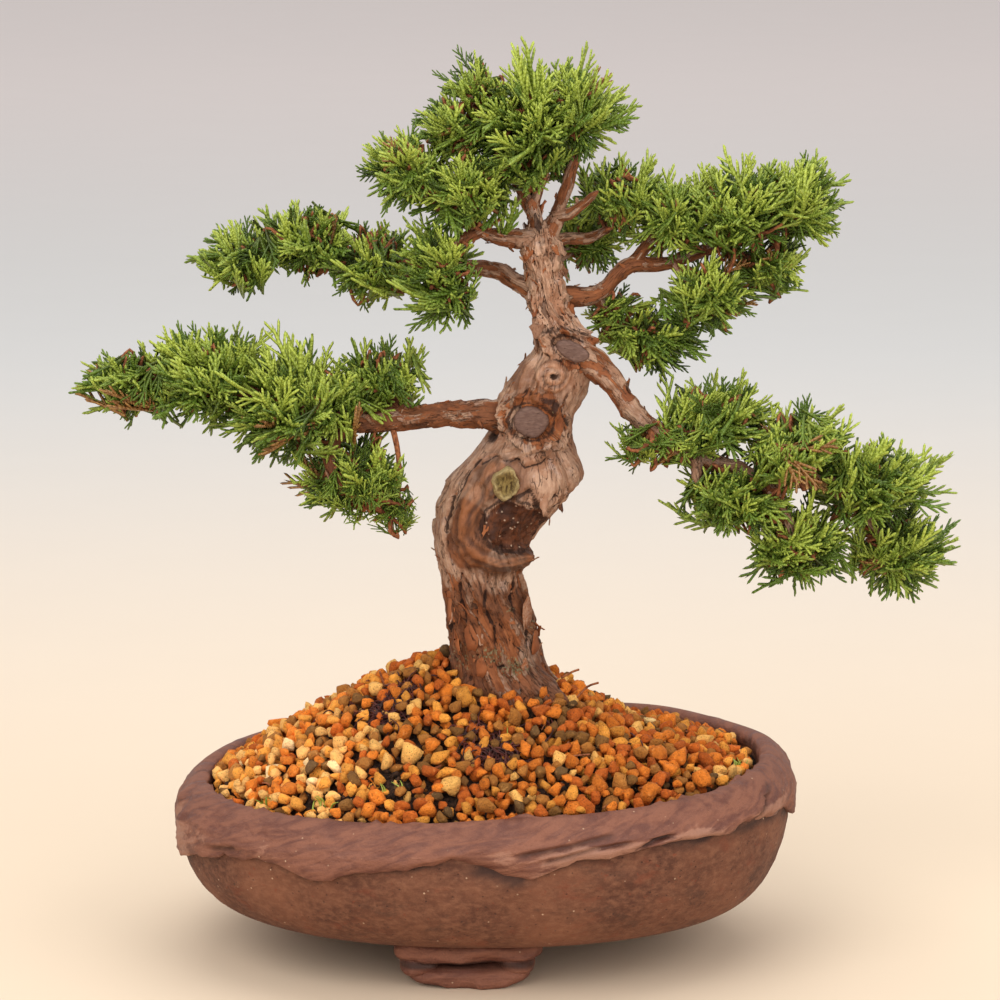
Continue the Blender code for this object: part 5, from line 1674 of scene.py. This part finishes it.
SPRIG_LIMIT = 2500  # to a piece


def cord(start, heading, length, thick, bend, steps):
    """One scale-leaved cord: a three-sided spike with a blunt tip."""
    heading = unit(heading)
    aside = unit(np.cross(heading, (0.3, 0.2, 1.0)))
    third = np.cross(heading, aside)
    t = np.linspace(0, 0.84, steps + 1)
    middle_line = start + heading * length * t[:, None] + bend * length * (t ** 2)[:, None]
    girth = thick * (0.8 + 0.4 * np.sin(math.pi * np.clip(t * 0.95, 0, 1)))
    girth[-1] *= 0.8
    turn = np.arange(3) * math.tau / 3 + length
    ring = aside * np.cos(turn)[:, None] + third * np.sin(turn)[:, None]
    points = (middle_line[:, None] + ring[None] * girth[:, None, None]).reshape(-1, 3)
    tip = start + heading * length + bend * length
    faces = []
    for i in range(steps):
        for j in range(3):
            k = (j + 1) % 3
            faces.append((3 * i + j, 3 * i + k, 3 * i + 3 + k, 3 * i + 3 + j))
    last = 3 * steps
    faces += [(last + j, last + (j + 1) % 3, last + 3) for j in range(3)]
    return np.vstack([points, tip]), faces, np.append(np.repeat(t, 3), 1.0), length


def sprig(seed):
    """A flat spray: a main cord with side cords in turn along it. It grows along +Y, in millimetres."""
    draw = np.random.default_rng(seed)
    long = draw.uniform(12.0, 16.5)
    bow = np.array([draw.uniform(-0.12, 0.12), 0, draw.uniform(0.0, 0.2)])
    cords = [cord(np.zeros(3), (0, 1, 0), long, 0.6, bow, 3)]
    for i in range(6):
        side = 1 if i % 2 else -1
        t = 0.26 + 0.115 * i
        heading = (side * draw.uniform(0.5, 0.8), 1.0, draw.uniform(-0.1, 0.35))
        length = long * (0.46 - 0.22 * i / 5) * draw.uniform(0.8, 1.2)
        start = np.array([0, long * t, 0]) + bow * long * t * t
        cords.append(cord(start, heading, length, 0.53, np.array([-side * 0.12, 0.05, 0.1]), 1))
    return gather(cords)


def needle_sprig(seed):
    """A young spray, with sharp needles all round its shoot."""
    draw = np.random.default_rng(seed)
    cords = [cord(np.zeros(3), (0, 1, 0), 10.5, 0.4, np.zeros(3), 2)]
    for i in range(10):
        turn = i * 2.4
        heading = (0.55 * math.cos(turn), 1.0, 0.55 * math.sin(turn) + 0.1)
        cords.append(
            cord(np.array([0, 1.2 + 0.86 * i, 0]), heading, draw.uniform(3.6, 5.2), 0.3, np.zeros(3), 1)
        )
    return gather(cords)


def gather(cords):
    points, faces, along, bead, count = [], [], [], [], 0
    for p, f, t, length in cords:
        points.append(p)
        faces += [tuple(i + count for i in face) for face in f]
        along.append(t)
        bead.append(t * length * 5.2)
        count += len(p)
    points = np.vstack(points)
    reach = np.clip(points[:, 1] / 13.0, 0, 1)
    return points, faces, {"along": np.concatenate(along) * 0.6 + reach * 0.4, "bead": np.concatenate(bead)}


SPRIGS = shape_set("sprig", [sprig(k) for k in range(5)] + [needle_sprig(k) for k in range(2)])


def inside(points, clumps, skip=-1):
    """How deep each point lies in the clumps: 0 in the middle of one, 1 on the skin, more outside."""
    depth = np.full(len(points), 9.0)
    for i, c in enumerate(clumps):
        if i != skip:
            depth = np.minimum(depth, np.linalg.norm((points - c[:3]) / c[3:], axis=1))
    return depth


def even_directions(count, draw):
    """Directions spread evenly over a ball."""
    k = np.arange(count) + 0.5
    z = 1 - 2 * k / count
    turn = k * 2.399963 + draw.uniform(0, math.tau)
    flat = np.sqrt(1 - z * z)
    return unit(
        np.stack([flat * np.cos(turn), flat * np.sin(turn), z], -1) + draw.normal(0, 0.09, (count, 3))
    )


def shoots(name, seed):
    """Every shoot of a pad: its foot, heading, length and tone, which holds painted light and shade."""
    lift, clumps = PADS[name]
    clumps = [np.array(c, float) for c in clumps]
    draw = np.random.default_rng(seed)
    trunk_top = np.array([14.0, 0.0, 0.0])
    found = []
    for i, clump in enumerate(clumps):
        size = clump[3:]
        mean = np.cbrt(size.prod())
        count = int(4 * math.pi * mean ** 2 / SPACING ** 2)
        ways = even_directions(count, draw)
        for way in ways:
            skin_point = clump[:3] + way * size
            if inside(skin_point[None], clumps, i)[0] < 0.86:
                continue
            normal = unit(way / size)
            away = unit((clump[:3] - trunk_top) * (1, 1, 0))
            rise = lift * (1.0 if normal[2] > -0.3 else -0.25)
            heading = unit(normal + away * 0.4 + UP * rise + draw.normal(0, 0.28, 3))
            length = draw.uniform(14, 21) * min(1.0, 0.55 + 0.45 * mean / 16)
            length = min(length, 1.35 / np.linalg.norm(heading / size))
            tip = skin_point + normal * draw.uniform(-5.6, -0.3)
            if draw.random() < 0.14 + 0.14 * (normal[2] > 0.3):
                tip = tip + heading * draw.uniform(2.0, 5.5)
            foot = tip - heading * length
            # Shoots facing up get a higher tone, a painted highlight on the pad's top.
            tone = 0.62 + 0.25 * normal[2] + draw.normal(0, 0.13)
            found.append((foot, heading, length, tone, i))
        for way in even_directions(count // 4, draw):
            foot = clump[:3] + way * size * 0.25
            if inside((clump[:3] + way * size)[None], clumps, i)[0] < 0.5:
                continue
            heading = unit(way + away * 0.3 + draw.normal(0, 0.3, 3))
            # Shoots inside a pad get a low tone: painted shade.
            found.append((foot, heading, mean * 0.62, 0.12 + draw.uniform(0, 0.2), i))
    return clumps, found, draw


def foliage():
    for number, name in enumerate(PADS):
        clumps, found, draw = shoots(name, 41 + number)
        routes = [through(r, 8) for limb_name in PAD_LIMBS[name] for r in LIMBS[limb_name]]
        wood = np.vstack([r[:, :3] for r in routes])
        near_wood = wood[inside(wood, clumps) < 1.25]
        wood = near_wood if len(near_wood) > 4 else wood
        stems, nodes = [], [wood]
        for clump in clumps:
            for way in even_directions(9, draw):
                end = clump[:3] + way * clump[3:] * 0.42
                start = wood[np.argmin(np.linalg.norm(wood - end, axis=1) + draw.uniform(0, 6, len(wood)))]
                bow = (start + end) / 2 + draw.normal(0, 1.6, 3) + UP * 1.0
                line = through(np.array([start, bow, end]), 4)
                nodes.append(line)
                stems.append(np.column_stack([line, np.linspace(1.0, 0.6, len(line))]))
        nodes = np.vstack(nodes)
        spots, turns, sizes, kinds, tones_and_light, dry = [], [], [], [], [], []
        for foot, heading, length, tone, clump_number in found:
            root = nodes[np.argmin(np.linalg.norm(nodes - foot, axis=1))]
            gap = np.linalg.norm(root - foot)
            flat_way = unit(np.cross(heading, UP) + draw.normal(0, 0.35, 3))
            normal = unit(np.cross(flat_way, heading))
            count = 3 + int(draw.random() < 0.75)
            bare = max(2.0, length - 12.5)
            t = np.linspace(0.0, 1.0, count)
            line = foot + heading * bare * t[:, None] + UP * (0.6 * t ** 2)[:, None]
            young = name == "foliage_lower_left" and clump_number in (3, 5) and draw.random() < 0.55
            old = draw.random() < 0.035
            for k in range(count):
                side = 1 if k % 2 else -1
                if k == count - 1:
                    way = heading + draw.normal(0, 0.08, 3)
                else:
                    way = heading + flat_way * side * draw.uniform(0.3, 0.85) + draw.normal(0, 0.16, 3)
                face = normal + draw.normal(0, 0.3, 3)
                spots.append(line[k])
                turns.append(turn_to(unit(way), unit(face)))
                size = draw.uniform(0.74, 1.1) * max(0.6, min(1.0, length / 15))
                sizes.append(size)
                kinds.append(5 + int(draw.integers(0, 2)) if young else int(draw.integers(0, 5)))
                tones_and_light.append(np.clip(tone - 0.16 + 0.22 * t[k] + draw.normal(0, 0.07), 0, 1))
                dry.append(1.0 if old and draw.random() < 0.6 else 0.0)
            if gap < 8:
                bow = (root + foot) / 2 + draw.normal(0, 0.8, 3)
                stalk = through(np.array([root, bow, foot, line[len(line) // 2]]), 2)
                stems.append(np.column_stack([stalk, np.linspace(0.62, 0.4, len(stalk))]))
        groups = max(1, math.ceil(len(spots) / SPRIG_LIMIT))
        order = np.argsort([s[0] for s in spots], kind="stable")
        for g, chosen in enumerate(np.array_split(order, groups)):
            pick = lambda values: np.asarray(values)[chosen]
            item = strew(
                f"{name}_sprays_{g + 1}", SPRIGS, GREENS, pick(spots), pick(turns), pick(sizes), pick(kinds),
                {"tone": pick(tones_and_light), "dry": pick(dry)},
            )
            fit(item, "foliage", name)
        fit(thread(name.replace("foliage", "twigs"), stems, TWIG_WOOD, 5), "bark", name)


# ---------------------------------------------------------------- small things on the soil


def tufts():
    """Dead root fibres lying in tangles on the gravel."""
    draw = np.random.default_rng(9)
    lines = []
    for x, y, reach, count in (
        (-27, -15, 5, 100), (-22, -8, 4, 50), (4, -35, 6, 100), (-1, -30, 4, 40), (-40, -6, 5, 16),
        (45, -16, 4, 16), (20, -22, 3, 10), (62, 14, 5, 12), (-50, 20, 5, 12)
    ):
        for _ in range(count):
            sx, sy = x + draw.normal(0, reach * 0.4), y + draw.normal(0, reach * 0.35)
            way = draw.uniform(0, math.tau)
            step = draw.uniform(0.9, 1.7)
            high = draw.uniform(0.4, 3.0)
            line = []
            for k in range(7):
                z = mound(sx, sy)[0][0] - 0.8 + high * math.sin(k / 6 * math.pi) + draw.uniform(-0.3, 0.3)
                line.append((sx, sy, z, 0.27 - 0.02 * k))
                way += draw.normal(0, 0.55)
                sx += step * math.cos(way)
                sy += step * math.sin(way)
            lines.append(through(line, 2))
    return fit(thread("root_tufts", lines, ROOT_HAIR, 4), "bark", "gravel_topdressing")


def litter():
    """Twigs and broken shoots lying or standing in the gravel."""
    draw = np.random.default_rng(15)
    lines = []
    standing = (
        ((-27.5, -4, 74), (-28.5, -4.5, 78), (-29.5, -5, 81.5)),
        ((22.5, -3, 79), (25.5, -4, 81), (27.5, -5, 82)), ((27, -6, 74), (30, -7, 77.5), (33, -8.5, 79))
    )
    for way in standing:
        lines.append([(*p, 0.34) for p in through(np.array(way, float), 3)])
    for _ in range(46):
        x, y = draw.uniform(-72, 72), draw.uniform(-52, 52)
        z, share = mound(x, y)
        if share[0] > 0.95 or math.hypot(x - 5, y) < 18:
            continue
        way = unit(draw.normal(0, 1, 3) * (1, 1, 0.25))
        half = draw.uniform(1.2, 3.6)
        middle_point = np.array([x, y, z[0] + 0.9])
        line = through(
            np.array(
                [middle_point - way * half, middle_point + draw.normal(0, 0.3, 3), middle_point + way * half]
            ),
            3
        )
        lines.append(np.column_stack([line, np.full(len(line), draw.uniform(0.15, 0.36))]))
    return fit(thread("fallen_twigs", lines, TWIG_WOOD, 5), "bark", "gravel_topdressing")


def sprouts():
    """Seedling weeds at the pot's edge, and blades lost from the tree."""
    draw = np.random.default_rng(17)
    lines = []
    for x, y, count in ((-61, -33, 7), (-44, -42, 6), (73, -9, 8), (8, -30, 3), (-25, -44, 4)):
        for _ in range(count):
            sx, sy = x + draw.normal(0, 1.4), y + draw.normal(0, 1.2)
            z = mound(sx, sy)[0][0] - 0.8
            way = unit(draw.normal(0, 1, 3) * (1, 1, 0.2) + UP * 0.5)
            blade = through(
                np.array(
                    [
                        (sx, sy, z), (sx, sy, z + 1.2) + way * 0.8,
                        (sx, sy, z + 1.5) + way * draw.uniform(2, 3.4)
                    ]
                ),
                3
            )
            lines.append(np.column_stack([blade, 0.34 * (1 - np.linspace(0, 0.8, len(blade)))]))
    marks = {
        "tone": [0.85] * len(lines), "along": [0.5] * len(lines), "bead": [0.0] * len(lines),
        "dry": [0.0] * len(lines)
    }
    return fit(thread("soil_sprouts", lines, GREENS, 4, marks), "foliage", "gravel_topdressing")


# ---------------------------------------------------------------- studio


def studio():
    run = np.linspace(-7200, 7200, 49)
    across = np.linspace(-7200, 7200, 9)
    points = np.array([(x, y, 0.0) for y in run for x in across])
    faces = [(r * 9 + c, r * 9 + c + 1, r * 9 + c + 10, r * 9 + c + 9) for r in range(48) for c in range(8)]
    far = np.repeat(np.clip(np.abs(run) / 2400, 0, 1), 9)
    piece("studio_floor", points, faces, studio_paper(), {"far": far})
    world = bpy.data.worlds.new("soft_room")
    world.use_nodes = True
    world.node_tree.nodes["Background"].inputs["Color"].default_value = (0.97, 0.97, 1.0, 1.0)
    world.node_tree.nodes["Background"].inputs["Strength"].default_value = 0.72
    bpy.context.scene.world = world
    for name, place, size, power, colour in (
        ("key_softbox", (-0.75, -1.15, 1.25), 1.5, 16.5, (1.0, 0.97, 0.93)),
        ("fill_softbox", (1.1, -0.9, 0.85), 1.3, 8.5, (1.0, 0.97, 0.93)),
        ("top_softbox", (0.1, 0.25, 1.5), 1.5, 12.0, (0.97, 0.98, 1.0)),
        ("low_fill_softbox", (0.1, -1.6, 0.28), 1.3, 5.0, (1.0, 0.98, 0.94)),
    ):
        light = bpy.data.lights.new(name, "AREA")
        light.shape = "DISK"
        light.size = size
        light.energy = power
        light.color = colour
        lamp = bpy.data.objects.new(name, light)
        lamp.location = place
        lamp.rotation_euler = (Vector((0.0, 0.0, 0.12)) - Vector(place)).to_track_quat("-Z", "Y").to_euler()
        bpy.context.scene.collection.objects.link(lamp)


CAMERA_PLACE = np.array([4.9, -1200.0, 390.0])
CAMERA_DIP = 12.2  # degrees below level


def camera():
    data = bpy.data.cameras.new("camera")
    data.lens = 155.1
    data.clip_end = 20.0
    view = bpy.data.objects.new("camera", data)
    view.location = HOME + CAMERA_PLACE * MM
    view.rotation_euler = (math.radians(90 - CAMERA_DIP), 0, 0)
    bpy.context.scene.collection.objects.link(view)
    bpy.context.scene.camera = view
    bpy.context.scene.view_settings.view_transform = "Standard"


camera()
studio()
bowl()
collar()
feet()
soil()
gravel()
crumbs()
trunk()
limbs()
flakes()
pastes()
stub()
foliage()
tufts()
litter()
sprouts()
for node, finish in (("drain_mesh", plastic_mesh()), ("mesh_wire", tie_wire())):
    for side in ("left", "right"):
        frame["nodes"][f"{node}_{side}"].material_slots[0].material = finish
